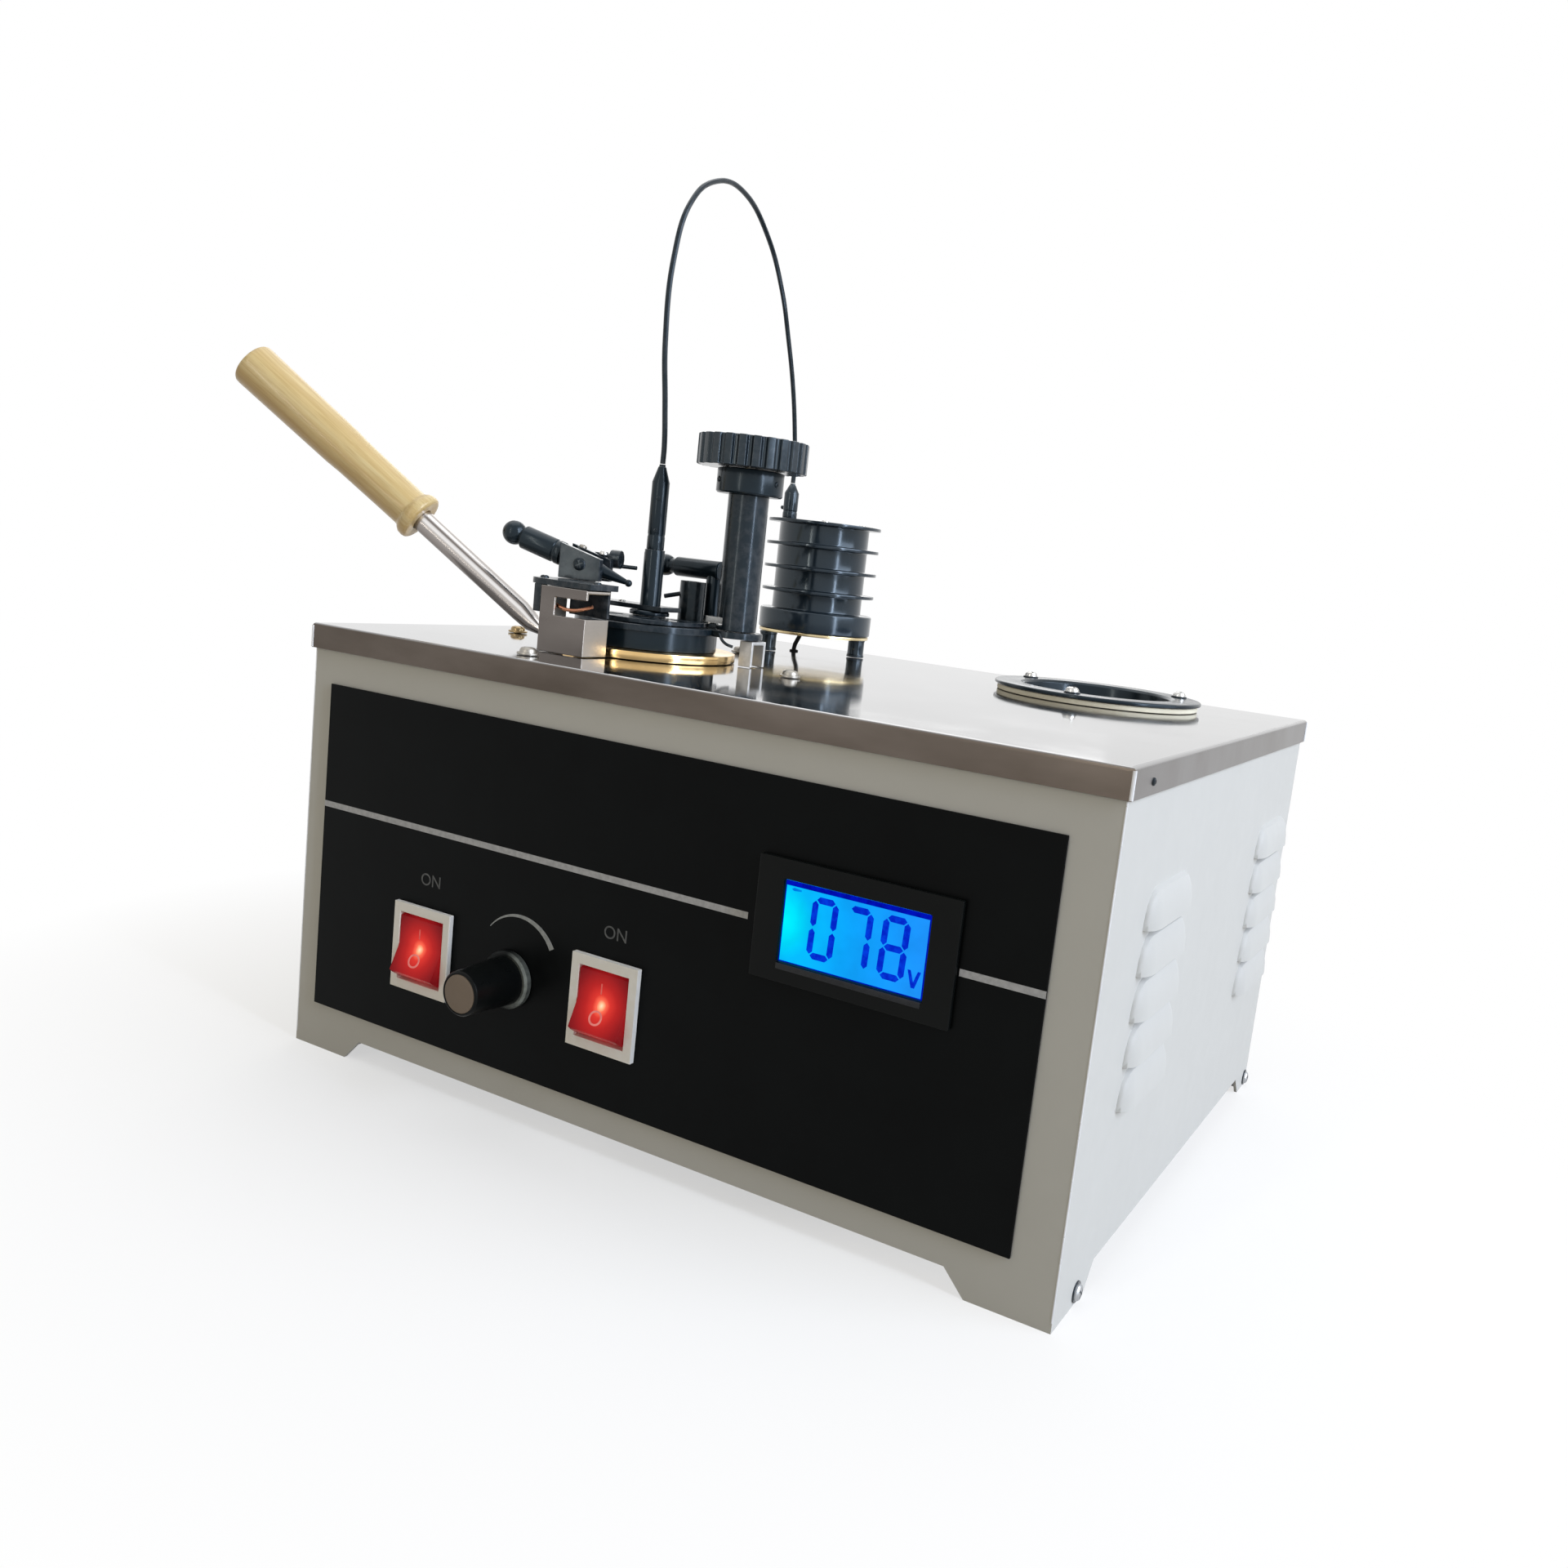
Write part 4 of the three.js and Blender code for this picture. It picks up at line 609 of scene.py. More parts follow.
@dataclass(frozen=True)
class TurnedMetal:
    """A bare metal with the fine rings that a lathe leaves round an upright axis.

    Attributes:
        name: the material's name.
        colour: its main colour.
        shade: the colour of stains.
        axis: a point on the lathe's axis, in metres.
        roughness: lowest and highest roughness.
        pitch: rings per metre.
    """

    name: str
    colour: Colour
    shade: Colour
    axis: Vector
    roughness: tuple[float, float] = (0.16, 0.3)
    pitch: float = 2600.0

    def material(self) -> bpy.types.Material:
        """Build the material."""
        surface = Surface(self.name, {"Metallic": 1.0})
        where = surface.mapped(self.axis)
        rings = surface.node(
            "ShaderNodeTexWave",
            {"wave_type": "RINGS", "rings_direction": "Z"},
            {"Vector": where, "Scale": self.pitch / 6.0, "Distortion": 1.2, "Detail": 2.0},
        ).outputs[0]
        stains = surface.noise(60.0, 5.0)
        surface.link(
            surface.mixed(surface.graded(stains, 0.34, 0.7, 0.0, 1.0), self.shade, self.colour), "Base Color"
        )
        low, high = self.roughness
        surface.link(surface.graded(rings, 0.0, 1.0, low, high), "Roughness")
        surface.bump(rings, 0.003, 0.5)
        return surface.material


@dataclass(frozen=True)
class PolishedTube:
    """A polished tube whose sides carry long bright and dark bands of painted reflection, set by which way
    each spot faces.

    Attributes:
        rise: the direction across the tube that points up.
        name: the material's name.
        painted_reflection_bands: stops of place across the tube, from its underside to its top, and the
            colour of the painted reflection there.
    """

    rise: Vector
    name: str = "polished_tube"
    painted_reflection_bands: tuple[tuple[float, Colour], ...] = (
        (0.0, (0.10, 0.085, 0.075)), (0.22, (0.26, 0.235, 0.22)), (0.42, (0.34, 0.315, 0.30)),
        (0.55, (0.50, 0.47, 0.45)), (0.62, (0.86, 0.84, 0.83)), (0.70, (0.78, 0.76, 0.75)),
        (0.77, (0.19, 0.165, 0.15)), (0.81, (0.22, 0.195, 0.18)), (0.87, (0.80, 0.78, 0.77)),
        (1.0, (0.40, 0.37, 0.35)),
    )

    def material(self) -> bpy.types.Material:
        """Build the material."""
        surface = Surface(self.name, {"Metallic": 1.0, "Roughness": 0.21})
        inputs = {0: surface.facing(), 1: tuple(self.rise)}
        across = surface.node("ShaderNodeVectorMath", {"operation": "DOT_PRODUCT"}, inputs).outputs["Value"]
        drift = surface.graded(surface.noise(30.0, 1.0), 0.0, 1.0, -0.012, 0.012)
        place = surface.maths("ADD", surface.graded(across, -1.0, 1.0, 0.0, 1.0), drift)
        # Painted reflection: the bands' colours follow which way each spot of the tube faces.
        surface.link(surface.ramp(place, self.painted_reflection_bands), "Base Color")
        return surface.material


@dataclass(frozen=True)
class PaintedHighlightRing:
    """A dark plated ring with a painted highlight on its right side.

    Attributes:
        centre: the ring's middle.
        name: the material's name.
        bright: the colour of the painted highlight.
        dark: the plating's colour.
        reach: from where to where across the ring the painted highlight grows, in metres.
    """

    centre: Vector
    name: str = "painted_highlight_ring"
    bright: Colour = (0.19, 0.205, 0.185)
    dark: Colour = (0.006, 0.007, 0.0068)
    reach: tuple[float, float] = (0.0005, 0.0095)

    def material(self) -> bpy.types.Material:
        """Build the material."""
        surface = Surface(self.name, {"Metallic": 0.5, "Specular IOR Level": 0.12})
        axes = surface.node("ShaderNodeSeparateXYZ", {}, {0: surface.mapped(self.centre)}).outputs
        # Painted highlight: it grows towards the ring's right side and is broken up by noise.
        share = surface.graded(axes["X"], *self.reach, 0.0, 1.0)
        patch = surface.graded(surface.noise(380.0, 3.0), 0.3, 0.65, 0.55, 1.0)
        surface.link(
            surface.mixed(surface.maths("MULTIPLY", share, patch), self.dark, self.bright), "Base Color"
        )
        surface.link(surface.graded(surface.noise(500.0), 0.3, 0.7, 0.3, 0.42), "Roughness")
        return surface.material


@dataclass(frozen=True)
class CoverSteel:
    """Folded bright steel with painted reflection: its folds are painted darker where they face the room than
    on top.

    Attributes:
        name: the material's name.
        top: the colour of faces that look up, the lit side of the painted reflection.
        haze: the colour of cloudy patches on them.
        front: the painted shade of faces that look to the front or back.
        front_worn_and_shaded: the colour of rubbed patches on those, in the same painted shade.
        side: the painted shade of faces that look to the sides.
        side_smudged_and_shaded: the colour of smudges on those, in the same painted shade.
        roughness: lowest and highest roughness on top, and the lowest on the folds.
    """

    name: str = "cover_steel"
    top: Colour = (0.43, 0.43, 0.435)
    haze: Colour = (0.39, 0.39, 0.393)
    front: Colour = (0.075, 0.060, 0.048)
    front_worn_and_shaded: Colour = (0.145, 0.122, 0.104)
    side: Colour = (0.23, 0.224, 0.228)
    side_smudged_and_shaded: Colour = (0.15, 0.138, 0.132)
    roughness: tuple[float, float, float] = (0.05, 0.12, 0.3)

    def material(self) -> bpy.types.Material:
        """Build the material."""
        surface = Surface(self.name, {"Metallic": 1.0})
        facing = surface.node("ShaderNodeSeparateXYZ", {}, {0: surface.facing()})
        # Painted reflection and shade: each face takes its colour from the way it looks, light on top and
        # darker on the folds.
        up = surface.graded(facing.outputs["Z"], 0.3, 0.75, 0.0, 1.0)
        along_y = surface.graded(surface.maths("ABSOLUTE", facing.outputs["Y"]), 0.4, 0.8, 0.0, 1.0)
        blotches = surface.noise(9.0, 5.0, surface.mapped(scale=(1.0, 1.0, 3.0)))
        fold = surface.mixed(surface.graded(blotches, 0.3, 0.72, 0.0, 1.0), self.front, self.front_worn_and_shaded)
        smudges = surface.noise(16.0, 5.0, surface.mapped(scale=(1.0, 1.0, 0.6)))
        flank = surface.mixed(surface.graded(smudges, 0.36, 0.66, 0.0, 1.0), self.side_smudged_and_shaded, self.side)
        skirt = surface.mixed(along_y, flank, fold)
        haze = surface.mixed(
            surface.graded(surface.noise(5.0, 4.0), 0.35, 0.7, 0.0, 1.0), self.haze, self.top
        )
        surface.link(surface.mixed(up, skirt, haze), "Base Color")
        strokes = surface.noise(700.0, 3.0, surface.mapped(scale=(0.03, 1.0, 1.0)))
        smears = surface.noise(24.0, 4.0)
        low, high, fold_low = self.roughness
        finish = surface.graded(smears, 0.35, 0.7, low, high)
        surface.link(
            surface.maths("MAXIMUM", finish, surface.graded(up, 0.0, 1.0, fold_low, 0.0)), "Roughness"
        )
        surface.bump(strokes, 0.0012, 0.35)
        return surface.material


@dataclass(frozen=True)
class Timber:
    """Varnished pale wood with its grain along the handle, and painted shade darkening its underside.

    Attributes:
        origin: a point on the handle's line.
        along: the handle's direction.
        name: the material's name.
    """

    origin: Vector
    along: Vector
    name: str = "varnished_wood"

    def material(self) -> bpy.types.Material:
        """Build the material."""
        surface = Surface(
            self.name, {
                "Coat Weight": 0.55, "Coat Roughness": 0.17, "Roughness": 0.5, "Specular IOR Level": 0.25
            }
        )
        aim = self.along.rotation_difference(UP).to_euler()
        turn = tuple(math.degrees(a) for a in aim)
        where = surface.mapped(self.origin, turn, (1.0, 1.0, 0.045))
        broad = surface.noise(260.0, 2.0, where, 0.4)
        streaks = surface.noise(900.0, 3.0, where, 0.5)
        fibre = surface.noise(1800.0, 2.0, where)
        base = surface.ramp(
            broad, [(0.3, (0.60, 0.42, 0.17)), (0.5, (0.68, 0.51, 0.235)), (0.7, (0.74, 0.60, 0.32))]
        )
        lines = surface.graded(streaks, 0.34, 0.55, 0.5, 1.0)
        colour = surface.mixed(lines, (0.50, 0.33, 0.115), base)
        pores = surface.graded(fibre, 0.3, 0.5, 0.8, 1.0)
        grain = surface.mixed(pores, (0.47, 0.31, 0.11), colour)
        # Painted shade: faces that look down are mixed towards dark brown.
        down = surface.node("ShaderNodeSeparateXYZ", {}, {0: surface.facing()}).outputs["Z"]
        surface.link(
            surface.mixed(surface.graded(down, -0.85, 0.25, 0.55, 0.0), grain, (0.47, 0.27, 0.075)),
            "Base Color",
        )
        surface.bump(fibre, 0.004, 0.15)
        return surface.material


@dataclass(frozen=True)
class LitRocker:
    """Translucent red plastic lit from inside by a small lamp.

    Attributes:
        name: the material's name.
        lamp: where the lamp's bright spot shows, in metres.
        reach: how far its light spreads, in metres.
    """

    name: str
    lamp: Vector
    reach: float = 0.016

    def material(self) -> bpy.types.Material:
        """Build the material."""
        surface = Surface(
            self.name, {"Roughness": 0.25, "Specular IOR Level": 0.08, "Emission Strength": 1.0}
        )
        where = surface.mapped(self.lamp, scale=(1.0, 0.35, 0.9))
        spread = surface.graded(surface.distance(where), 0.0, self.reach, 0.0, 1.0)
        stops = [
            (0.0, (1.0, 0.80, 0.55)), (0.07, (1.0, 0.50, 0.26)), (0.14, (0.98, 0.15, 0.08)),
            (0.26, (0.68, 0.034, 0.024)), (0.5, (0.42, 0.013, 0.012)), (0.8, (0.22, 0.006, 0.008)),
            (1.0, (0.12, 0.002, 0.004)),
        ]
        surface.link(surface.ramp(spread, stops), "Emission Color")
        surface.link(
            surface.mixed(
                surface.graded(surface.noise(300.0), 0.3, 0.7, 0.0, 1.0),
                (0.09, 0.003, 0.004), (0.12, 0.004, 0.006),
            ),
            "Base Color",
        )
        surface.bump(surface.noise(900.0, 2.0), 0.01, 0.4)
        return surface.material


@dataclass(frozen=True)
class Backlight:
    """The blue glow of the display, brightest at its left edge.

    Attributes:
        low: the window's lower corner, in metres.
        high: its upper corner.
        name: the material's name.
    """

    low: Vector
    high: Vector
    name: str = "blue_backlight"

    def material(self) -> bpy.types.Material:
        """Build the material."""
        surface = Surface(
            self.name,
            {
                "Base Color": (0.0, 0.0, 0.0, 1.0),
                "Roughness": 0.6,
                "Specular IOR Level": 0.0,
                "Emission Strength": 1.0,
            },
        )
        size = self.high - self.low
        lamp = Vector((self.low.x, self.low.y, (self.low.z + self.high.z) / 2))
        where = surface.mapped(lamp, scale=(1.0 / size.x, 0.0, 0.45 / size.z))
        reach = surface.distance(where)
        stops = [
            (0.0, (0.0, 0.95, 1.0)), (0.09, (0.0, 0.80, 1.0)), (0.22, (0.002, 0.50, 1.0)),
            (0.45, (0.004, 0.39, 1.0)), (0.75, (0.008, 0.33, 1.0)), (1.0, (0.014, 0.30, 1.0)),
        ]
        glow = surface.ramp(reach, stops)
        cloud = surface.graded(surface.noise(90.0, 2.0), 0.3, 0.7, 0.9, 1.06)
        bright = surface.node(
            "ShaderNodeVectorMath", {"operation": "SCALE"}, {0: glow, "Scale": cloud}
        ).outputs[0]
        surface.link(bright, "Emission Color")
        return surface.material


@dataclass(frozen=True)
class Ink:
    """A printed or lit mark.

    Attributes:
        name: the material's name.
        colour: the mark's colour.
        shade: the colour where it has thinned.
        glow: how strongly it shines by itself.
    """

    name: str
    colour: Colour
    shade: Colour
    glow: float = 0.0

    def material(self) -> bpy.types.Material:
        """Build the material."""
        values = {
            "Roughness": 0.45, "Emission Strength": self.glow, "Specular IOR Level": 0.0 if self.glow else 0.2
        }
        surface = Surface(self.name, values)
        mottle = surface.graded(surface.noise(420.0, 4.0), 0.35, 0.6, 0.0, 1.0)
        colour = surface.mixed(mottle, self.shade, self.colour)
        if self.glow:
            surface.shader.inputs["Base Color"].default_value = (0.0, 0.0, 0.0, 1.0)
            surface.link(colour, "Emission Color")
        else:
            surface.link(colour, "Base Color")
        surface.bump(mottle, 0.01, 0.3)
        return surface.material


class Finish(Enum):
    """The finishes that more than one sub-assembly shares."""

    CASE_PAINT = Coating(
        "case_paint", (0.585, 0.58, 0.555), (0.565, 0.56, 0.535), None, (0.44, 0.5), 5200.0, 0.0012,
        specular=0.3, mottle=0.6,
    )
    PANEL = Coating(
        "panel_black", (0.0046, 0.0055, 0.0058), (0.0034, 0.0039, 0.0041), None, (0.32, 0.44), 5000.0,
        0.002, specular=0.05,
    )
    BLACK_PLASTIC = Coating(
        "moulded_black", (0.0048, 0.0058, 0.0056), (0.0034, 0.004, 0.004), None, (0.26, 0.38), 2200.0,
        0.006, specular=0.09,
    )
    IVORY = Coating(
        "moulded_ivory", (0.93, 0.91, 0.87), (0.88, 0.86, 0.81), (0.95, 0.94, 0.92), (0.28, 0.38),
        1500.0, 0.004, specular=0.5, mottle=0.5,
    )
    TAN_CAP = Coating(
        "tan_cap", (0.24, 0.19, 0.15), (0.21, 0.165, 0.13), None, (0.35, 0.5), 900.0, 0.015, specular=0.2
    )
    BLACKENED = Coating(
        "blackened_metal", (0.0085, 0.0155, 0.0215), (0.0055, 0.0105, 0.015), (0.05, 0.053, 0.058),
        (0.16, 0.26), 1400.0, 0.002, coat=0.08, specular=0.28, tint=(0.72, 0.88, 1.0), gloss=0.14,
    )
    ANODISED = Coating(
        "anodised_black", (0.0115, 0.019, 0.027), (0.007, 0.0125, 0.018), (0.06, 0.064, 0.07),
        (0.13, 0.22), 1400.0, 0.002, coat=0.15, specular=0.45, tint=(0.72, 0.88, 1.0), gloss=0.12,
    )
    PALE_STEEL = Coating(
        "pale_steel", (0.62, 0.62, 0.61), (0.50, 0.50, 0.49), (0.75, 0.75, 0.74), (0.4, 0.55), 1200.0,
        0.01, metal=0.75,
    )
    BRIGHT_STEEL = Metal("bright_steel", (0.72, 0.72, 0.70), (0.5, 0.49, 0.47), (0.14, 0.26))
    DULL_STEEL = Metal("dull_steel", (0.42, 0.40, 0.36), (0.24, 0.22, 0.19), (0.3, 0.45))
    ZINC = Metal("zinc_plate", (0.52, 0.53, 0.54), (0.38, 0.39, 0.40), (0.34, 0.5), (1.0, 0.2, 1.0), 0.01)
    COPPER = Metal("copper_strip", (0.72, 0.34, 0.20), (0.45, 0.20, 0.12), (0.2, 0.34))
    CAST = Coating(
        "cast_iron", (0.05, 0.048, 0.046), (0.03, 0.03, 0.03), (0.12, 0.11, 0.10), (0.55, 0.75), 900.0,
        0.12, 0.0, 0.6,
    )
    FIBRE = Coating("fibre_board", (0.84, 0.79, 0.63), (0.70, 0.64, 0.49), None, (0.8, 0.95), 3200.0, 0.12)
    BOARD = Coating("board_green", (0.02, 0.13, 0.06), (0.012, 0.09, 0.045), None, (0.35, 0.5), 700.0, 0.03)
    RUBBER = Coating(
        "lead_rubber", (0.008, 0.008, 0.009), (0.005, 0.005, 0.006), None, (0.5, 0.65), 2400.0, 0.03,
        specular=0.3,
    )
    # Painted highlight: a near-white strip along the case's front edges stands for light caught there; the
    # cover's corner strips use it too.
    BRIGHT_EDGE = Coating(
        "bright_edge", (0.86, 0.87, 0.89), (0.72, 0.73, 0.76), None, (0.25, 0.35), 900.0, 0.004, metal=0.2
    )
    WHITE_INK = Ink("white_print", (0.52, 0.53, 0.56), (0.42, 0.43, 0.46))
    ARC_INK = Ink("arc_print", (0.40, 0.42, 0.43), (0.30, 0.32, 0.33))
    GREY_INK = Ink("grey_print", (0.13, 0.135, 0.138), (0.07, 0.072, 0.075))
    MARK_RED = Ink("rocker_mark", (0.72, 0.22, 0.19), (0.62, 0.16, 0.14), 1.0)
    MARK_FAINT = Ink("rocker_mark_faint", (0.62, 0.12, 0.10), (0.52, 0.08, 0.07), 1.0)
    DIGIT = Ink("display_digit", (0.001, 0.02, 0.60), (0.001, 0.05, 0.78), 0.95)
    # Painted shadow: a dim dark blue glow along the window's edges stands in for the shade inside its frame.
    DIGIT_EDGE = Ink("display_shadow", (0.0, 0.008, 0.62), (0.0, 0.004, 0.42), 0.8)
    DIGIT_FAINT = Ink("display_faint", (0.0, 0.22, 0.85), (0.0, 0.28, 0.92), 0.9)
    # Painted highlight: the ledge under the display window is coloured lighter than the black bezel.
    LEDGE = Ink("display_ledge_highlight", (0.022, 0.024, 0.028), (0.014, 0.015, 0.018))

    def made(self) -> bpy.types.Material:
        """Build the finish once and give the same material every time."""
        known = bpy.data.materials.get(self.value.name)
        return known or self.value.material()


class Body(str, Enum):
    """The bodies that pieces ride on."""

    HOUSING = "housing"
    CUP = "cup_unit"
    LID = "lid_unit"
    STIRRER = "stirrer_unit"
    ROTOR = "motor_rotor"
    KNOB = "knob_unit"
    SHUTTER = "shutter_unit"
    FLAME = "flame_unit"
    VALVE = "valve_unit"
    HEAT = "heat_unit"


def fit(
    piece: bpy.types.Object, body: str, finish: bpy.types.Material, nodes: Sequence[str] = ()
) -> bpy.types.Object:
    """Dress a finished piece and let it ride.

    Args:
        piece: the piece, in place.
        body: the body it moves with.
        finish: its material.
        nodes: the CAD nodes it stands for.

    Returns:
        The same piece.
    """
    piece.data.materials.clear()
    piece.data.materials.append(finish)
    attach(piece, str(body.value if isinstance(body, Body) else body))
    if nodes:
        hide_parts(*nodes)
    log.info("%s: %d faces", piece.name, len(piece.data.polygons))
    return piece


def worked_up(
    node: str, name: str, broken: Sequence[float], body: str, finish: bpy.types.Material
) -> bpy.types.Object:
    """Work up a CAD node's own shape into the dressed piece that stands for it.

    Args:
        node: the CAD node.
        name: the piece's name.
        broken: the edge's width in millimetres, its steps and the angle from which edges are broken.
        body: the body it moves with.
        finish: its material.

    Returns:
        The piece.
    """
    return fit(from_solid(node, name, *broken), body, finish, [node])


def dress(finish: bpy.types.Material, *nodes: str) -> None:
    """Give CAD nodes that stay a finish of their own."""
    for name in nodes:
        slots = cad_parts[name].data.materials
        slots.clear()
        slots.append(finish)


# Sub-assemblies


@dataclass
class Case:
    """The painted case, its steel cover, the black front sheet and what is printed on it."""

    line_height: float = 118.5
    line_width: float = 2.7
    line_runs: tuple[tuple[float, float], ...] = ((-180.9, 54.2), (143.1, 175.5))
    print_depth: float = 0.05
    arc_centre: tuple[float, float] = (-58.0, 71.0)
    arc_radius: float = 21.2
    arc_from: float = 141.0
    arc_to: float = 31.0
    arc_steps: int = 28
    arc_widths: tuple[float, float] = (0.35, 2.6)
    side: float = 193.5
    skirt_side: float = 195.0
    foot_screws: tuple[tuple[float, float], ...] = ((-127.3, 5.0), (146.4, 4.6))
    skirt_screw: tuple[float, float] = (-129.6, 193.8)
    near: float = 0.05
    bend: float = 1.5
    foot_washer: tuple[float, float] = (4.1, 0.6)
    foot_head: tuple[float, float] = (3.2, 1.6)
    skirt_head: tuple[float, float] = (1.5, 0.8)
    mark_height: float = 5.6
    on_marks: tuple[tuple[str, float, float], ...] = (("stirrer", -110.9, 96.0), ("power", -7.4, 96.2))
    seam_radius: float = 0.75
    seam_inset: float = 0.35

    def build(self) -> None:
        """Build and dress every piece."""
        paint = Finish.CASE_PAINT.made()
        worked_up("case_shell", "case_body", (0.35, 2), Body.HOUSING, paint)
        worked_up("rear_panel", "back_sheet", (0.25, 1), Body.HOUSING, paint)
        cover = self.folded_cover()
        fit(cover, Body.HOUSING, CoverSteel().material(), ["top_cover"])
        worked_up("front_panel", "front_sheet", (0.15, 1), Body.HOUSING, Finish.PANEL.made())
        dress(Finish.ZINC.made(), "base_plate")
        self.print_panel(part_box("front_panel")[0].y)
        self.add_screws()
        self.add_seams()

    def folded_cover(self) -> bpy.types.Object:
        """Work up the cover with the soft bend of folded sheet along its top."""
        cover = from_solid("top_cover", "steel_cover", 0.0)
        low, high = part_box("top_cover")
        near = self.near * MM
        with editing(cover, "DESELECT"):
            bpy.ops.mesh.select_mode(type="EDGE")
            bpy.ops.object.mode_set(mode="OBJECT")
            spots = [vertex.co for vertex in cover.data.vertices]
            for edge in cover.data.edges:
                ends = [spots[index] for index in edge.vertices]
                edge.select = any(
                    all(end.z > high.z - near and abs(end[axis] - wall) < near for end in ends)
                    for axis, wall in ((0, low.x), (0, high.x), (1, low.y), (1, high.y))
                )
            bpy.ops.object.mode_set(mode="EDIT")
            bpy.ops.mesh.bevel(offset=self.bend * MM, segments=5, affect="EDGES")
            bpy.ops.mesh.select_mode(type="VERT")
        return flattened(rounded(cover, 0.3, 2, 40.0))

    def print_panel(self, face: float) -> None:
        """Print the line, the heat arc and the ON marks on the front sheet.

        Args:
            face: the sheet's front face, y in metres.
        """
        for number, (start, end) in enumerate(self.line_runs, 1):
            low, high = on_case(start, 0.0, self.line_height), on_case(end, 0.0, self.line_height)
            half = self.line_width / 2 * MM
            line = bar(
                f"printed_line_{number}",
                Vector((low.x, face - self.print_depth * MM, low.z - half)),
                Vector((high.x, face, low.z + half)),
                0.0,
            )
            fit(line, Body.HOUSING, Finish.WHITE_INK.made())
        centre = on_case(self.arc_centre[0], 0.0, self.arc_centre[1])
        centre.y = face
        fit(self.heat_arc(centre), Body.HOUSING, Finish.ARC_INK.made())
        for role, x, z in self.on_marks:
            spot = on_case(x, 0.0, z)
            spot.y = face
            mark = lettering(f"{role}_on_mark", "ON", self.mark_height, spot, 0.0)
            fit(mark, Body.HOUSING, Finish.GREY_INK.made())

    def heat_arc(self, centre: Vector) -> bpy.types.Object:
        """Cut the mark that widens towards more heat."""
        outer, inner = [], []
        for step in range(self.arc_steps + 1):
            share = step / self.arc_steps
            angle = self.arc_from + (self.arc_to - self.arc_from) * share
            width = self.arc_widths[0] + (self.arc_widths[1] - self.arc_widths[0]) * share
            outer.append(around(self.arc_radius + width / 2, angle))
            inner.append(around(self.arc_radius - width / 2, angle))
        mark = flat_mark("heat_arc", outer + inner[::-1], -self.print_depth)
        mark.location = centre
        return settle(mark)

    def add_screws(self) -> None:
        """Add the small screws at the feet and in the cover's sides."""
        for hand, label in ((1.0, "right"), (-1.0, "left")):
            way = Vector((hand, 0.0, 0.0))
            for number, (y, z) in enumerate(self.foot_screws, 1):
                seat = on_case(hand * self.side, y, z)
                ring = washer(f"foot_washer_{label}_{number}", *self.foot_washer, seat, way)
                fit(ring, Body.HOUSING, Finish.BLACKENED.made())
                seat += way * self.foot_washer[1] * MM
                head = screw_head(f"foot_screw_{label}_{number}", *self.foot_head, seat, way)
                fit(head, Body.HOUSING, Finish.ZINC.made())
            seat = on_case(hand * self.skirt_side, *self.skirt_screw)
            head = screw_head(f"skirt_screw_{label}", *self.skirt_head, seat, way)
            fit(head, Body.HOUSING, Finish.BLACKENED.made())

    def add_seams(self) -> None:
        """Add bright strips at the corners of the cover's fold, and strips of painted highlight along the
        case's front edges.
        """
        low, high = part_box("top_cover")
        for label, x, y in (("right", high.x, low.y), ("left", low.x, low.y), ("rear", high.x, high.y)):
            inset = self.seam_inset * MM
            x += -inset if x > MIDDLE.x else inset
            y += inset if y < MIDDLE.y else -inset
            heights = (low.z + 0.3 * MM, (low.z + high.z) / 2, high.z - 1.2 * MM)
            seam = swept(f"cover_seam_{label}", [Vector((x, y, z)) for z in heights], self.seam_radius, 12, 2)
            fit(seam, Body.HOUSING, Finish.BRIGHT_EDGE.made())
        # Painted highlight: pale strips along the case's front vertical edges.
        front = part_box("case_shell")[0].y + 0.2 * MM
        for label, way in (("right", 1.0), ("left", -1.0)):
            x = MIDDLE.x + way * (self.side - 0.25) * MM
            points = [Vector((x, front, z)) for z in (4.0 * MM, low.z / 2, low.z - 0.5 * MM)]
            edge = swept(f"case_edge_highlight_{label}", points, self.seam_inset, 12, 2)
            fit(edge, Body.HOUSING, Finish.BRIGHT_EDGE.made())


def drum(
    name: str,
    radius: float,
    low: float,
    high: float,
    seat: Vector,
    along: Vector = UP,
    sides: int = 32,
    edge: float = 0.0,
) -> bpy.types.Object:
    """Turn a plain round bar.

    Args:
        name: the piece's name.
        radius: the bar's radius in millimetres.
        low: where it starts along its axis, in millimetres from the seat.
        high: where it ends.
        seat: a point on its axis.
        along: the axis's direction.
        sides: facets round it.
        edge: the width of its broken edges in millimetres.

    Returns:
        The bar.
    """
    profile = [(0.0, low), (radius, low), (radius, high), (0.0, high)]
    return turned(name, profile, seat, along, sides, edge)


def washer(name: str, radius: float, height: float, seat: Vector, along: Vector) -> bpy.types.Object:
    """Model a flat washer that a screw head sits on."""
    profile = [
        (0.0, 0.0), (radius, 0.0), (radius, height * 0.7), (radius - height * 0.3, height), (0.0, height)
    ]
    return turned(name, profile, seat, along, 40, 0.0)


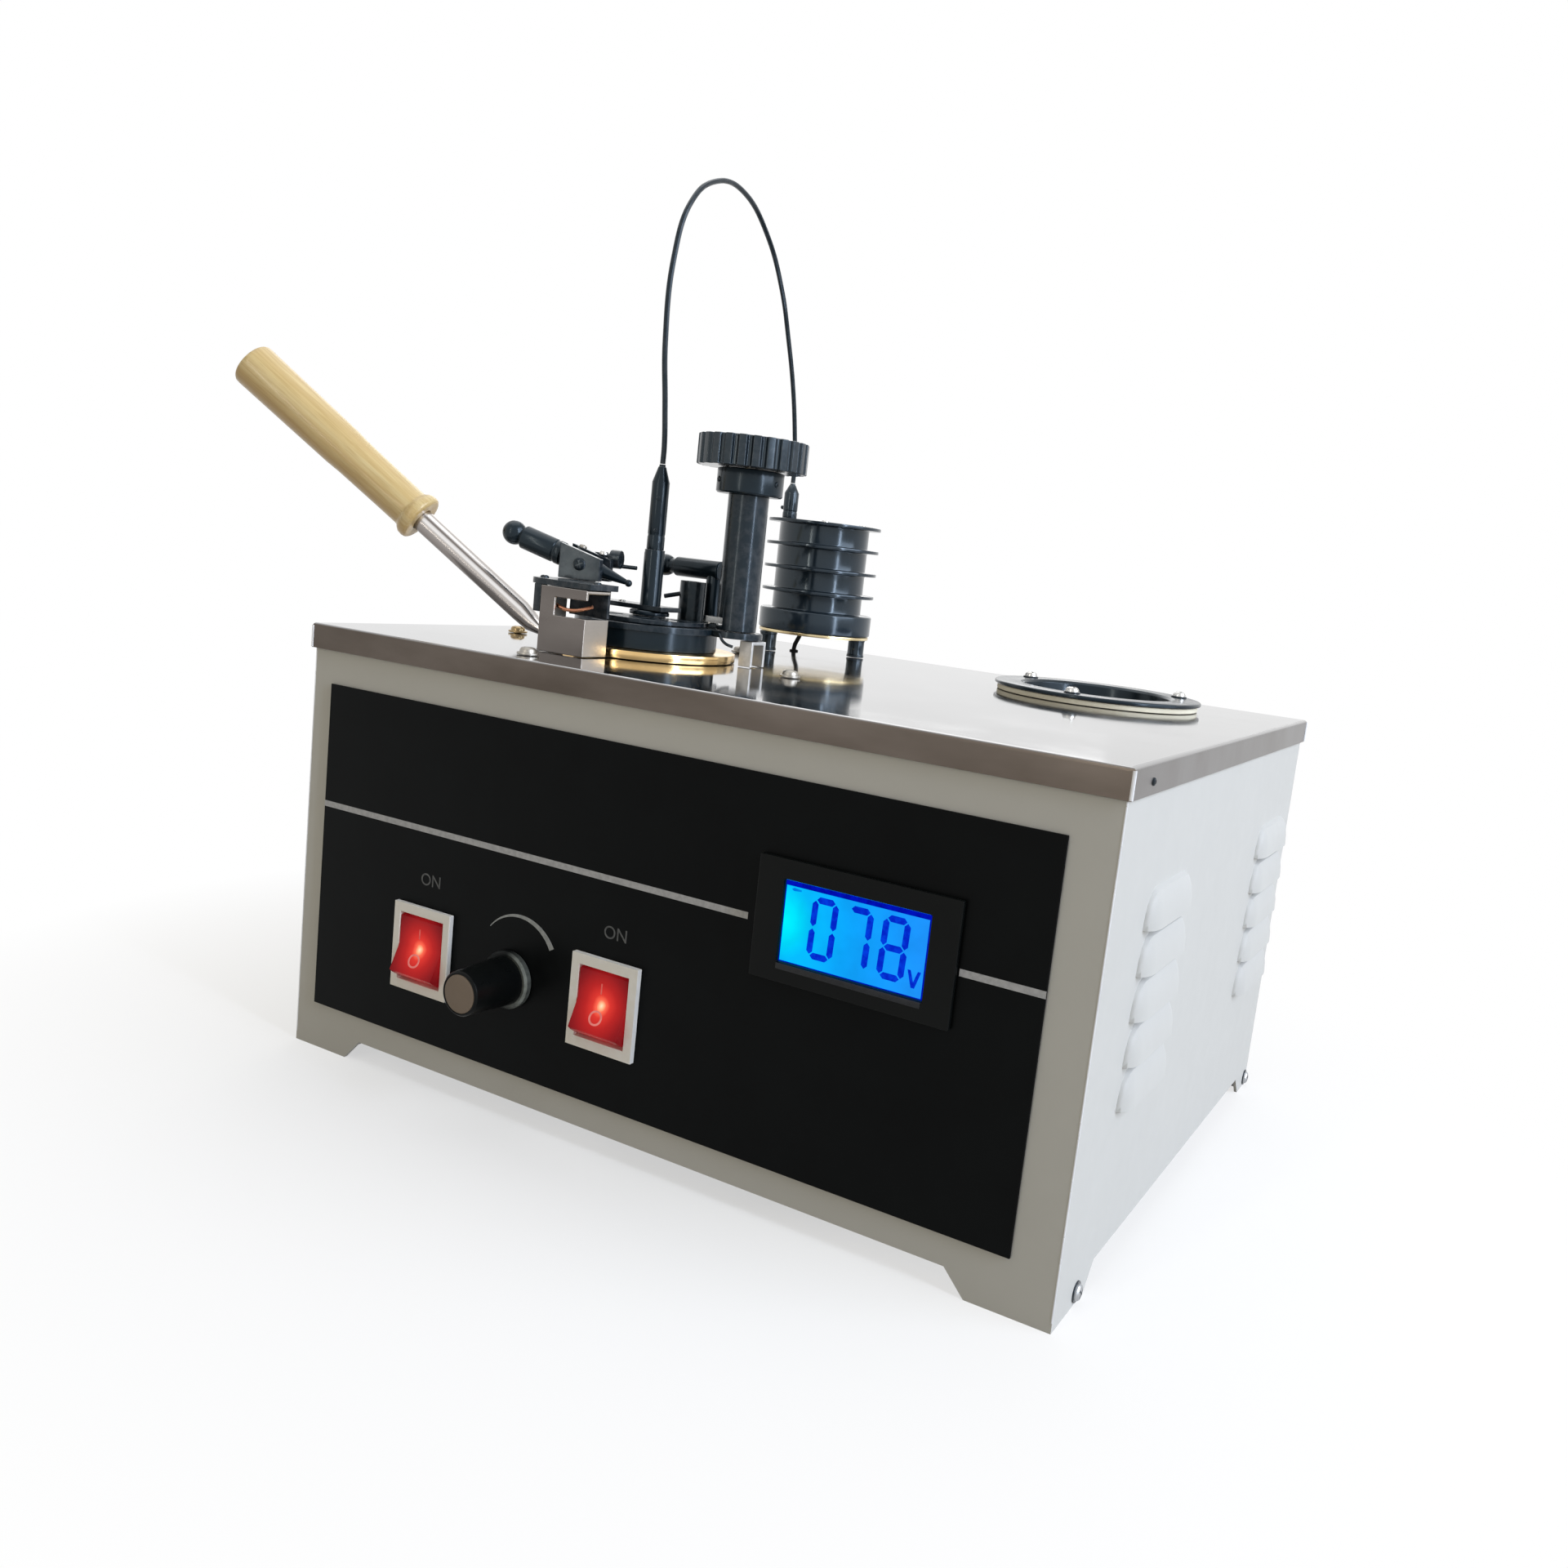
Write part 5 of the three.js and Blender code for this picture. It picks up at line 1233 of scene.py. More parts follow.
def screw_head(name: str, radius: float, height: float, seat: Vector, along: Vector) -> bpy.types.Object:
    """Model a domed screw head with a cross slot.

    Args:
        name: the piece's name.
        radius: the head's radius in millimetres.
        height: its height in millimetres.
        seat: the middle of its underside.
        along: the way it looks.

    Returns:
        The head.
    """
    profile = [
        (0.0, 0.0), (radius, 0.0), (radius * 0.98, height * 0.35), (radius * 0.82, height * 0.75),
        (radius * 0.5, height * 0.95), (0.0, height),
    ]
    head = turned(name, profile, Vector(), UP, 32, 0.0)
    slots = []
    for turn in (45.0, 135.0):
        half = radius * 0.66 * MM
        slot = bar(
            f"{name}_slot",
            Vector((-half, -radius * 0.11 * MM, height * 0.5 * MM)),
            Vector((half, radius * 0.11 * MM, height * 2.0 * MM)),
            0.0,
        )
        slot.rotation_euler = (0.0, 0.0, math.radians(turn))
        slots.append(settle(slot))
    combine(head, slots, "DIFFERENCE")
    return rounded(placed(head, seat, along), 0.0)


class Segment(Enum):
    """The seven bars of a display digit, as start and end corners in shares of its width and height."""

    TOP = ((0.0, 1.0), (1.0, 1.0))
    UPPER_RIGHT = ((1.0, 1.0), (1.0, 0.5))
    LOWER_RIGHT = ((1.0, 0.5), (1.0, 0.0))
    BOTTOM = ((1.0, 0.0), (0.0, 0.0))
    LOWER_LEFT = ((0.0, 0.0), (0.0, 0.5))
    UPPER_LEFT = ((0.0, 0.5), (0.0, 1.0))
    MIDDLE = ((0.0, 0.5), (1.0, 0.5))


@dataclass
class Display:
    """The voltage display: its frame, the lit window and its digits."""

    digit_width: float = 8.6
    digit_height: float = 21.4
    stroke: float = 2.5
    gap: float = 0.4
    slant: float = 0.035
    digit_lefts: tuple[float, ...] = (-17.2, -2.6, 12.4)
    digit_bottom: float = -10.5
    ledge: float = 2.3
    proud: float = 0.06
    digits: tuple[str, ...] = ("0", "7", "8")
    unit_place: tuple[float, float] = (25.9, -11.6)
    unit_strokes: Profile = (
        (-2.7, 5.8), (-1.45, 5.8), (0.0, 1.6), (1.45, 5.8), (2.7, 5.8), (0.7, -0.6), (-0.7, -0.6),
    )
    sign_outline: Profile = ((-27.6, 12.6), (-26.6, 13.2), (-23.4, 12.9), (-23.4, 12.3), (-26.6, 12.0))

    def build(self) -> None:
        """Build and dress every piece."""
        black = Finish.BLACK_PLASTIC.made()
        worked_up("display_bezel", "display_frame", (0.7, 3), Body.HOUSING, black)
        low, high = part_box("display_lens")
        dress(Backlight(low, high).material(), "display_lens")
        centre = Vector(((low.x + high.x) / 2, low.y, (low.z + high.z) / 2))
        self.add_digits(centre)
        self.add_border(low, high)

    def bars_of(self, digit: str) -> list[Segment]:
        """List the lit bars of a digit."""
        lit = {
            "0": [s for s in Segment if s is not Segment.MIDDLE],
            "7": [Segment.TOP, Segment.UPPER_RIGHT, Segment.LOWER_RIGHT],
            "8": list(Segment),
        }
        return lit[digit]

    def corner(self, left: float, share: tuple[float, float]) -> Vector:
        """Give a digit's corner as x and z in millimetres, with the digit's slant."""
        z = self.digit_bottom + share[1] * self.digit_height
        return Vector((left + share[0] * self.digit_width + z * self.slant, z))

    def add_digits(self, centre: Vector) -> None:
        """Lay the lit bars on the window, and the small unit mark beside them."""
        seat = centre - Vector((0.0, self.proud * MM, 0.0))
        for place, (left, digit) in enumerate(zip(self.digit_lefts, self.digits), 1):
            for number, segment in enumerate(self.bars_of(digit), 1):
                start, end = (self.corner(left, share) for share in segment.value)
                run = (end - start).normalized()
                start, end = start + run * self.gap, end - run * self.gap
                side = Vector((-run.y, run.x)) * self.stroke / 2
                tip = run * self.stroke / 2
                corners = (
                    start, start + tip + side, end - tip + side, end, end - tip - side, start + tip - side
                )
                outline = [tuple(corner) for corner in corners]
                self.plate(f"digit_{place}_bar_{number}", outline, seat, Finish.DIGIT)
        across, up = self.unit_place
        self.plate("unit_mark", [(across + x, up + z) for x, z in self.unit_strokes], seat, Finish.DIGIT)
        self.plate("sign_mark", self.sign_outline, seat, Finish.DIGIT_FAINT)

    def plate(self, name: str, outline: Profile, seat: Vector, finish: Finish) -> None:
        """Lay one flat mark on the window."""
        mark = flat_mark(name, outline, self.proud)
        mark.location = seat
        fit(settle(mark), Body.HOUSING, finish.made())

    def add_border(self, low: Vector, high: Vector) -> None:
        """Add the painted shadow along the inside of the lit window's edges, and the ledge under it."""
        face = low.y - self.proud * MM
        # Painted shadow: thin dark blue strips lie along the window's top, bottom and sides.
        runs = {
            "top": (low.x, high.z - 1.9 * MM, high.x, high.z),
            "bottom": (low.x, low.z, high.x, low.z + 0.4 * MM),
            "right": (high.x - 0.7 * MM, low.z, high.x, high.z),
            "left": (low.x, low.z, low.x + 0.4 * MM, high.z),
        }
        for label, (x0, z0, x1, z1) in runs.items():
            strip = bar(f"window_shadow_{label}", Vector((x0, face, z0)), Vector((x1, low.y, z1)), 0.0)
            fit(strip, Body.HOUSING, Finish.DIGIT_EDGE.made())
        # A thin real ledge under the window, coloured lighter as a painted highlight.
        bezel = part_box("display_bezel")[0]
        ledge = bar(
            "window_ledge_highlight",
            Vector((low.x, bezel.y - 0.25 * MM, low.z - (0.4 + self.ledge) * MM)),
            Vector((high.x, bezel.y + 0.2 * MM, low.z - 0.4 * MM)),
            0.15,
        )
        fit(ledge, Body.HOUSING, Finish.LEDGE.made())


class SwitchRole(str, Enum):
    """What a rocker switch turns on."""

    STIRRER = "stirrer"
    POWER = "power"


@dataclass
class RockerSwitch:
    """An ivory frame with a lit red rocker whose upper half is pressed in."""

    role: SwitchRole
    lower_height: float = 6.5
    upper_height: float = 4.8
    lower_mark: tuple[float, float] = (8.55, -4.6)
    lower_tip: float = 23.4
    upper_mark: tuple[float, float] = (5.86, 7.2)
    upper_tip: float = 0.6
    back: float = 6.0
    rim: float = 2.5

    def build(self) -> None:
        """Build and dress every piece."""
        name = self.role.value
        ivory = Finish.IVORY.made()
        surround = f"{name}_switch_surround"
        worked_up(f"{name}_switch_frame", surround, (0.8, 3), Body.HOUSING, ivory)
        low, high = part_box(f"{name}_switch_frame")
        pivot = Vector(((low.x + high.x) / 2, low.y + self.back * MM, (low.z + high.z) / 2))
        lamp = pivot + Vector((0.4 * MM, -self.back * MM, 0.6 * MM))
        body = f"{name}_rocker_unit"
        lit = LitRocker(f"{name}_lit_red", lamp).material()
        worked_up(f"{name}_rocker", f"{name}_rocker_cap", (0.5, 2), body, lit)
        for label, mark, height, (forward, up), tip, finish in (
            ("o", "O", self.lower_height, self.lower_mark, self.lower_tip, Finish.MARK_RED),
            ("i", "I", self.upper_height, self.upper_mark, self.upper_tip, Finish.MARK_FAINT),
        ):
            spot = pivot + Vector((-0.5 * MM, -forward * MM, up * MM))
            fit(lettering(f"{name}_mark_{label}", mark, height, spot, tip, 0.05), body, finish.made())


@dataclass
class HeatKnob:
    """The black heat knob with its dark base ring, which carries a painted highlight, and tan end cap."""

    base_radius: float = 12.6
    radius: float = 10.6
    end_radius: float = 9.5
    cap_radius: float = 8.1
    length: float = 29.0
    bore: float = 3.3

    def build(self) -> None:
        """Build and dress every piece."""
        low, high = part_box("heat_knob")
        base = Vector(((low.x + high.x) / 2, high.y, (low.z + high.z) / 2))
        front = Vector((0.0, -1.0, 0.0))
        profile = [
            (self.bore, 0.0), (self.radius - 0.2, 0.0), (self.radius, 0.2), (self.radius, 4.0),
            (self.end_radius, self.length - 0.8), (self.end_radius - 0.6, self.length),
            (self.cap_radius + 0.15, self.length), (self.cap_radius + 0.15, self.length - 1.2),
            (0.0, self.length - 1.2), (0.0, 22.3), (self.bore, 22.3), (self.bore, 0.0),
        ]
        knob = turned("heat_knob_grip", profile, base, front, 96, 0.2)
        fit(knob, Body.HEAT, Finish.BLACK_PLASTIC.made(), ["heat_knob"])
        cap = turned(
            "heat_knob_end",
            [
                (0.0, -0.95), (self.cap_radius, -0.95), (self.cap_radius, -0.1),
                (self.cap_radius - 1.2, 0.0), (0.0, 0.0),
            ],
            base + front * self.length * MM,
            front,
            72,
            0.12,
        )
        fit(cap, Body.HEAT, Finish.TAN_CAP.made(), ["heat_knob_cap"])
        ring = turned(
            "heat_knob_ring",
            [
                (self.radius + 0.05, 0.3), (self.base_radius, 0.3), (self.base_radius, 2.6),
                (self.base_radius - 0.9, 3.6), (self.radius + 0.05, 3.6), (self.radius + 0.05, 0.3),
            ],
            base,
            front,
            72,
            0.0,
        )
        fit(ring, Body.HEAT, PaintedHighlightRing(base).material())
        dress(Finish.ZINC.made(), "heat_pot", "heat_pot_shaft")


@dataclass
class CupUnit:
    """The brass cup and its long bent handle."""

    flange_radius: float = 42.8
    flange_low: float = 0.3
    flange_top: float = 4.2
    neck_radius: float = 28.5
    rim: float = 12.7
    bore: float = 25.4
    wall: float = 1.6
    bottom: float = -45.4
    floor: float = -43.2
    azimuth: float = 207.0
    slope: float = 36.7
    start_reach: float = 54.8
    start_rise: float = 8.6
    tube_radius: float = 5.4
    grip_start: float = 72.0
    grip_length: float = 107.0
    grip_bore: float = 30.0
    axis: Vector = field(default_factory=lambda: centre_of("air_bath"))

    def build(self) -> None:
        """Build and dress every piece."""
        outer = self.bore + self.wall
        profile = [
            (0.0, self.bottom), (outer, self.bottom), (outer, self.flange_low),
            (self.flange_radius, self.flange_low), (self.flange_radius, self.flange_top),
            (self.neck_radius, self.flange_top), (self.neck_radius, self.rim), (self.bore, self.rim),
            (self.bore, self.floor), (0.0, self.floor),
        ]
        cup = turned("brass_cup", profile, on_deck(self.axis), UP, 128, 0.45)
        brass = TurnedMetal("cup_brass", (0.86, 0.63, 0.31), (0.68, 0.45, 0.19), on_deck(self.axis))
        fit(cup, Body.CUP, brass.material(), ["cup"])
        self.build_handle()

    def heading(self) -> Vector:
        """Give the handle's direction."""
        flat = math.cos(math.radians(self.slope))
        x, y = around(flat, self.azimuth)
        return Vector((x, y, math.sin(math.radians(self.slope))))

    def build_handle(self) -> None:
        """Build the bent tube and the wooden grip."""
        out = Vector((*around(1.0, self.azimuth), 0.0))
        start = on_deck(self.axis, z=self.start_rise) + out * self.start_reach * MM
        along = self.heading()
        polish = PolishedTube(along.cross(UP.cross(along)).normalized()).material()
        fit(self.tube(start, along, out), Body.CUP, polish, ["handle_tube"])
        grip = turned("wooden_grip", self.grip_profile(), start, along, 72, 0.35)
        fit(grip, Body.CUP, Timber(start, along).material(), ["handle_grip"])

    def tube(self, start: Vector, along: Vector, out: Vector) -> bpy.types.Object:
        """Loft the tube from its round run to the flattened end on the flange.

        Args:
            start: a point on the tube's line near the bend.
            along: the tube's direction.
            out: the level direction away from the cup.

        Returns:
            The tube.
        """
        side = UP.cross(out)
        tang = on_deck(self.axis, z=self.flange_top + 0.3 + 1.5)
        stations = [
            (
                start + along * (self.grip_start + self.grip_bore - 0.6) * MM,
                along, self.tube_radius, self.tube_radius,
            ),
            (start + along * 9.0 * MM, along, self.tube_radius, self.tube_radius),
            (
                start + along * 2.0 * MM - UP * 0.3 * MM,
                (along * 2 + out).normalized(), self.tube_radius * 1.03, 4.9,
            ),
            (start - out * 4.0 * MM - UP * 2.2 * MM, (along + out * 2).normalized(), 6.3, 3.2),
            (tang + out * 45.5 * MM, out, 7.2, 1.55), (tang + out * 36.0 * MM, out, 7.3, 1.45),
        ]
        rings = []
        for number, (centre, facing, wide, high) in enumerate(stations):
            bpy.ops.object.select_all(action="DESELECT")
            bpy.ops.mesh.primitive_circle_add(vertices=48, radius=1.0)
            ring = named(f"tube_ring_{number}")
            rise = facing.cross(side).normalized()
            rise = rise if rise.z > 0 else -rise
            basis = Matrix((side * wide * MM, rise * high * MM, facing * MM)).transposed()
            ring.matrix_world = Matrix.Translation(centre) @ basis.to_4x4()
            rings.append(settle(ring))
        bpy.ops.object.select_all(action="DESELECT")
        for ring in rings:
            ring.select_set(True)
        bpy.context.view_layer.objects.active = rings[0]
        bpy.ops.object.join()
        piece = named("handle_bar")
        with editing(piece):
            bpy.ops.mesh.bridge_edge_loops()
            bpy.ops.mesh.select_all(action="SELECT")
            bpy.ops.mesh.fill_holes(sides=0)
            bpy.ops.mesh.select_all(action="SELECT")
            bpy.ops.mesh.normals_make_consistent(inside=False)
        return rounded(piece, 0.0, angle=40.0)

    def grip_profile(self) -> Profile:
        """Draw the grip: a ring, a slim waist and a straight run to its flat end."""
        start, length, bore = self.grip_start, self.grip_length, self.tube_radius + 0.2
        return [
            (bore, start), (10.6, start), (11.7, start + 0.8), (12.0, start + 2.2), (11.8, start + 4.2),
            (10.9, start + 5.6), (9.9, start + 6.7), (9.65, start + 8.2), (9.7, start + 20.0),
            (9.95, start + length * 0.4), (10.35, start + length * 0.47), (10.6, start + length * 0.7),
            (10.85, start + length - 3.0), (10.7, start + length - 1.4), (10.1, start + length - 0.5),
            (9.0, start + length - 0.1), (0.0, start + length), (0.0, start + self.grip_bore),
            (bore, start + self.grip_bore), (bore, start),
        ]


@dataclass
class LidUnit:
    """The lid with its shutter, bridge, thermometer collar and latch plate."""

    axis: Vector = field(default_factory=lambda: centre_of("air_bath"))
    lug: tuple[tuple[float, float, float], ...] = ((-19.2, -60.0, 17.5), (-15.3, -55.5, 29.9))
    latch_screws: tuple[tuple[float, float], ...] = ((-22.0, -50.5), (8.5, -50.5))
    latch_top: float = 32.4
    strip_screws: tuple[tuple[float, float], ...] = ((-27.5, 1.0), (-18.0, 1.0))
    strip_top: float = 23.6

    def build(self) -> None:
        """Build and dress every piece."""
        black = Finish.BLACKENED.made()
        for node, name, broken, body in (
            ("lid", "lid_plate", (0.4, 2), Body.LID),
            ("lid_bridge", "lid_strip", (0.35, 2), Body.LID),
            ("shutter", "shutter_leaf", (0.2, 1), Body.SHUTTER),
            ("latch_plate", "latch_blade", (0.5, 3), Body.LID),
            ("thermometer_collar", "thermometer_socket", (0.35, 2), Body.LID),
            ("clamp_pin", "clamp_rod", (0.25, 2, 50.0), Body.LID),
        ):
            worked_up(node, name, broken, body, black)
        low, high = (on_deck(self.axis, *corner) for corner in self.lug)
        fit(bar("latch_lug", low, high, 0.4), Body.LID, black)
        for number, spot in enumerate(self.latch_screws, 1):
            seat = on_deck(self.axis, *spot, self.latch_top)
            fit(screw_head(f"latch_screw_{number}", 2.0, 1.1, seat, UP), Body.LID, black)
        for number, spot in enumerate(self.strip_screws, 1):
            seat = on_deck(self.axis, *spot, self.strip_top)
            head = screw_head(f"strip_screw_{number}", 1.9, 1.0, seat, UP)
            fit(head, Body.LID, Finish.BRIGHT_STEEL.made())


@dataclass
class ShutterColumn:
    """The column beside the lid with its collar, toothed knob and crank."""

    collar_radius: float = 15.7
    collar_low: float = 80.0
    collar_top: float = 91.7
    bore: float = 3.4
    dish_depth: float = 1.3
    dish_radius: float = 17.5
    axis: Vector = field(default_factory=lambda: centre_of("column_collar"))

    def build(self) -> None:
        """Build and dress every piece."""
        black = Finish.BLACKENED.made()
        worked_up("column_tube", "column", (0.4, 2), Body.LID, black)
        low, high, radius = self.collar_low, self.collar_top, self.collar_radius
        profile = [
            (self.bore, low), (radius - 0.8, low), (radius, low + 0.8), (radius, high - 0.4),
            (radius - 1.6, high), (radius - 1.6, low + 1.6), (self.bore, low + 1.6), (self.bore, low),
        ]
        fit(
            turned("column_ring", profile, on_deck(self.axis), UP, 96, 0.2),
            Body.LID,
            black,
            ["column_collar"],
        )
        for number, azimuth in enumerate((235.0, 355.0), 1):
            x, y = around(radius - 0.1, azimuth)
            way = Vector((x, y, 0.0)).normalized()
            head = screw_head(
                f"ring_screw_{number}", 1.5, 0.7, on_deck(self.axis, x, y, (low + high) / 2), way
            )
            fit(head, Body.LID, Finish.BLACKENED.made())
        knob = from_solid("shutter_knob", "toothed_knob", 0.45, 3)
        self.dish_top(knob)
        fit(knob, Body.KNOB, Finish.ANODISED.made(), ["shutter_knob"])
        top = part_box("shutter_knob")[1].z
        nut = turned(
            "knob_nut",
            [(0.0, 0.0), (4.2, 0.0), (4.2, 1.2), (3.6, 1.9), (1.6, 2.0), (0.0, 2.0)],
            Vector((self.axis.x, self.axis.y, top - 1.3 * MM)),
            UP,
            48,
            0.2,
        )
        fit(nut, Body.KNOB, Finish.BRIGHT_STEEL.made())
        dress(Finish.BRIGHT_STEEL.made(), "shutter_rod", "return_spring")

    def dish_top(self, knob: bpy.types.Object) -> None:
        """Sink the knob's top face a little inside its toothed rim."""
        top = (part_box("shutter_knob")[1].z - DECK) / MM
        tool = drum("dish", self.dish_radius, top - self.dish_depth, top + 1.0, on_deck(self.axis), sides=96)
        rounded(combine(knob, [tool], "DIFFERENCE"), 0.0)


@dataclass
class StirrerDrive:
    """The stirrer's bearing and coupling on the lid, its blades, and the flexible shaft to the motor."""

    axis: Vector = field(default_factory=lambda: centre_of("air_bath"))
    bearing_low: float = 18.9
    bearing_top: float = 50.0
    coupling_top: float = 82.0
    cone_height: float = 8.0
    socket_screws: tuple[float, float] = (59.0, 74.0)
    socket_reach: float = 4.05
    shaft_radius: float = 1.3
    shaft_gap: float = 0.3
    shaft_end_run: float = 8.0
    arc_rise: float = 137.5
    arc_shares: tuple[tuple[float, float], ...] = (
        (-0.018, 0.19), (-0.052, 0.4), (-0.045, 0.67), (0.03, 0.87), (0.19, 0.985), (0.38, 1.0),
        (0.58, 0.905), (0.735, 0.745), (0.83, 0.58), (0.915, 0.4), (0.97, 0.23),
    )

    def build(self) -> None:
        """Build and dress every piece."""
        black = Finish.BLACKENED.made()
        low, top = self.bearing_low, self.bearing_top
        bearing = [
            (2.9, low), (9.5, low), (9.5, low + 1.6), (8.9, low + 2.2), (5.6, low + 2.2), (4.9, low + 3.2),
            (4.9, top - 1.6), (4.75, top - 1.3), (4.75, top), (2.9, top), (2.9, low),
        ]
        fit(
            turned("bearing_sleeve", bearing, on_deck(self.axis), UP, 72, 0.2),
            Body.LID,
            black,
            ["stirrer_bearing"],
        )
        low, top, tip = self.bearing_top + 0.05, self.coupling_top, self.coupling_top + self.cone_height
        coupling = [
            (2.8, low), (4.15, low), (4.15, low + 6.0), (4.0, low + 6.3), (4.0, low + 7.1),
            (4.15, low + 7.4), (4.15, top - 0.3), (3.9, top + 0.5), (1.9, tip - 1.2), (1.5, tip - 0.9),
            (1.5, tip), (0.0, tip), (0.0, low + 10.0), (2.8, low + 10.0), (2.8, low),
        ]
        piece = turned("stirrer_socket", coupling, on_deck(self.axis), UP, 72, 0.15)
        fit(piece, Body.STIRRER, black, ["stirrer_coupling"])
        for number, height in enumerate(self.socket_screws, 1):
            way = Vector((*around(1.0, 300.0), 0.0))
            seat = on_deck(self.axis, way.x * self.socket_reach, way.y * self.socket_reach, height)
            fit(screw_head(f"socket_screw_{number}", 1.1, 0.5, seat, way), Body.STIRRER, black)
        steel = Finish.BRIGHT_STEEL.made()
        worked_up("stirrer_shaft", "stirrer_blades", (0.15, 1), Body.STIRRER, steel)
        self.build_flexible_shaft()

    def build_flexible_shaft(self) -> None:
        """Wind the flexible shaft along its tall arc."""
        spindle = centre_of("motor_spindle")
        start = on_deck(self.axis, z=self.coupling_top + self.cone_height + self.shaft_gap)
        end = Vector((spindle.x, spindle.y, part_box("spindle_ferrule")[1].z + self.shaft_gap * MM))
        across = Vector((end.x - start.x, end.y - start.y, 0.0))
        route = [start, start + UP * self.shaft_end_run * MM]
        route += [start + across * along + UP * self.arc_rise * MM * up for along, up in self.arc_shares]
        route += [end + UP * self.shaft_end_run * MM, end]
        shaft = self.through(route)
        fit(shaft, Body.LID, Finish.BLACKENED.made(), ["flexible_shaft"])

    def through(self, route: Sequence[Vector]) -> bpy.types.Object:
        """Draw a round wire that passes exactly through its route's points."""
        curve = bpy.data.curves.new("drive_shaft", "CURVE")
        curve.dimensions = "3D"
        spline = curve.splines.new("BEZIER")
        spline.bezier_points.add(len(route) - 1)
        for knot, point in zip(spline.bezier_points, route):
            knot.co = point
            knot.handle_left_type = knot.handle_right_type = "AUTO"
        spline.resolution_u = 10
        curve.bevel_depth = self.shaft_radius * MM
        curve.bevel_resolution = 3
        return wired("drive_shaft", curve)


@dataclass
class FlameLamp:
    """The tipping flame lamp in its block, its small jet and the pilot lamp beside the column."""

    axis: Vector = field(default_factory=lambda: centre_of("air_bath"))
    pivot: tuple[float, float, float] = (-20.0, -25.0, 39.7)
    azimuth: float = 19.3
    slope: float = 16.7
    pin_reach: float = 7.2
    pin_radius: float = 1.8
    valve_height: float = 1.8
    lock_screw: tuple[float, float] = (-5.0, 7.0)
    block_rise: float = 5.9
    block_half: float = 9.0

    def build(self) -> None:
        """Build and dress every piece."""
        black = Finish.BLACKENED.made()
        pivot = on_deck(self.axis, *self.pivot)
        flat = math.cos(math.radians(self.slope))
        x, y = around(flat, self.azimuth)
        along = Vector((x, y, -math.sin(math.radians(self.slope))))
        lamp = turned("lamp_barrel", self.lamp_profile(), pivot, along, 72, 0.2)
        across = Vector((*around(1.0, self.azimuth + 90.0), 0.0))
        reach = self.pin_reach
        pin = drum("lamp_pin", self.pin_radius, -reach, reach, pivot, across, 32, 0.2)
        combine(lamp, [pin], "UNION")
        fit(rounded(lamp, 0.0), Body.FLAME, black, ["flame_lamp"])
        worked_up("flame_block", "lamp_block", (0.5, 2), Body.LID, black)
        valve = centre_of("flame_valve")
        seat = Vector((valve.x, valve.y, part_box("flame_valve")[1].z - self.valve_height * MM))
        head = screw_head("valve_screw", 2.2, self.valve_height, seat, UP)
        fit(head, Body.VALVE, Finish.BRIGHT_STEEL.made(), ["flame_valve"])
        behind, aside = self.lock_screw
        level = Vector((*around(1.0, self.azimuth), 0.0))
        facing = across.cross(along) if across.cross(along).z > 0 else along.cross(across)
        rise = self.block_rise / flat - behind * math.tan(math.radians(self.slope))
        spot = pivot + level * behind * MM + across * aside * MM + UP * rise * MM
        lock = screw_head("block_screw", 1.9, 1.2, spot, facing)
        fit(lock, Body.LID, Finish.DULL_STEEL.made())
        for number, way in enumerate((across, -across), 1):
            head = screw_head(f"pivot_screw_{number}", 3.0, 1.1, pivot + way * self.block_half * MM, way)
            fit(head, Body.LID, black)
        worked_up("pilot_jet", "small_jet", (0.25, 2, 40.0), Body.LID, black)
        self.build_pilot(black)

    def lamp_profile(self) -> Profile:
        """Draw the lamp from its rear ball to the ball at its nozzle."""
        ball = []
        for step in range(13):
            turn = math.radians(180.0 - step * 138.0 / 12)
            ball.append((5.7 * math.sin(turn), -38.0 + 5.7 * math.cos(turn)))
        tip = []
        for step in range(9):
            turn = math.radians(135.0 - step * 135.0 / 8)
            tip.append((1.7 * math.sin(turn), 22.2 + 1.7 * math.cos(turn)))
        body = [
            (3.8, -33.0), (5.1, -33.0), (5.6, -32.4), (5.6, -16.5), (5.25, -16.1), (5.25, -15.4),
            (5.6, -15.0), (5.6, -12.4), (5.0, -12.0), (4.2, -12.0), (4.2, 6.0), (3.6, 6.4), (2.6, 12.0),
            (1.35, 20.2),
        ]
        return ball + body + tip[:-1] + [(0.0, 23.9)]

    def build_pilot(self, black: bpy.types.Material) -> None:
        """Build the pilot lamp on its post."""
        centre = on_deck(self.axis, 0.0, 30.0, 43.0)
        barrel = [
            (0.0, -21.2), (2.4, -20.8), (4.2, -19.2), (5.2, -17.0), (5.4, -15.4), (5.1, -13.4),
            (4.2, -11.6), (3.5, -11.0), (3.5, -8.3), (4.4, -8.0), (4.8, -7.4), (4.8, 18.4), (4.2, 19.0),
            (0.0, 19.0),
        ]
        lamp = turned("pilot_barrel", barrel, centre, Vector((1.0, 0.0, 0.0)), 64, 0.15)
        post = turned(
            "pilot_post",
            [(0.0, 16.3), (4.0, 16.3), (4.0, 40.0), (3.6, 43.0), (0.0, 43.0)],
            on_deck(self.axis, 15.0, 30.0, 0.0),
            UP,
            48,
            0.2,
        )
        combine(lamp, [post], "UNION")
        fit(rounded(lamp, 0.0), Body.LID, black, ["pilot_lamp"])


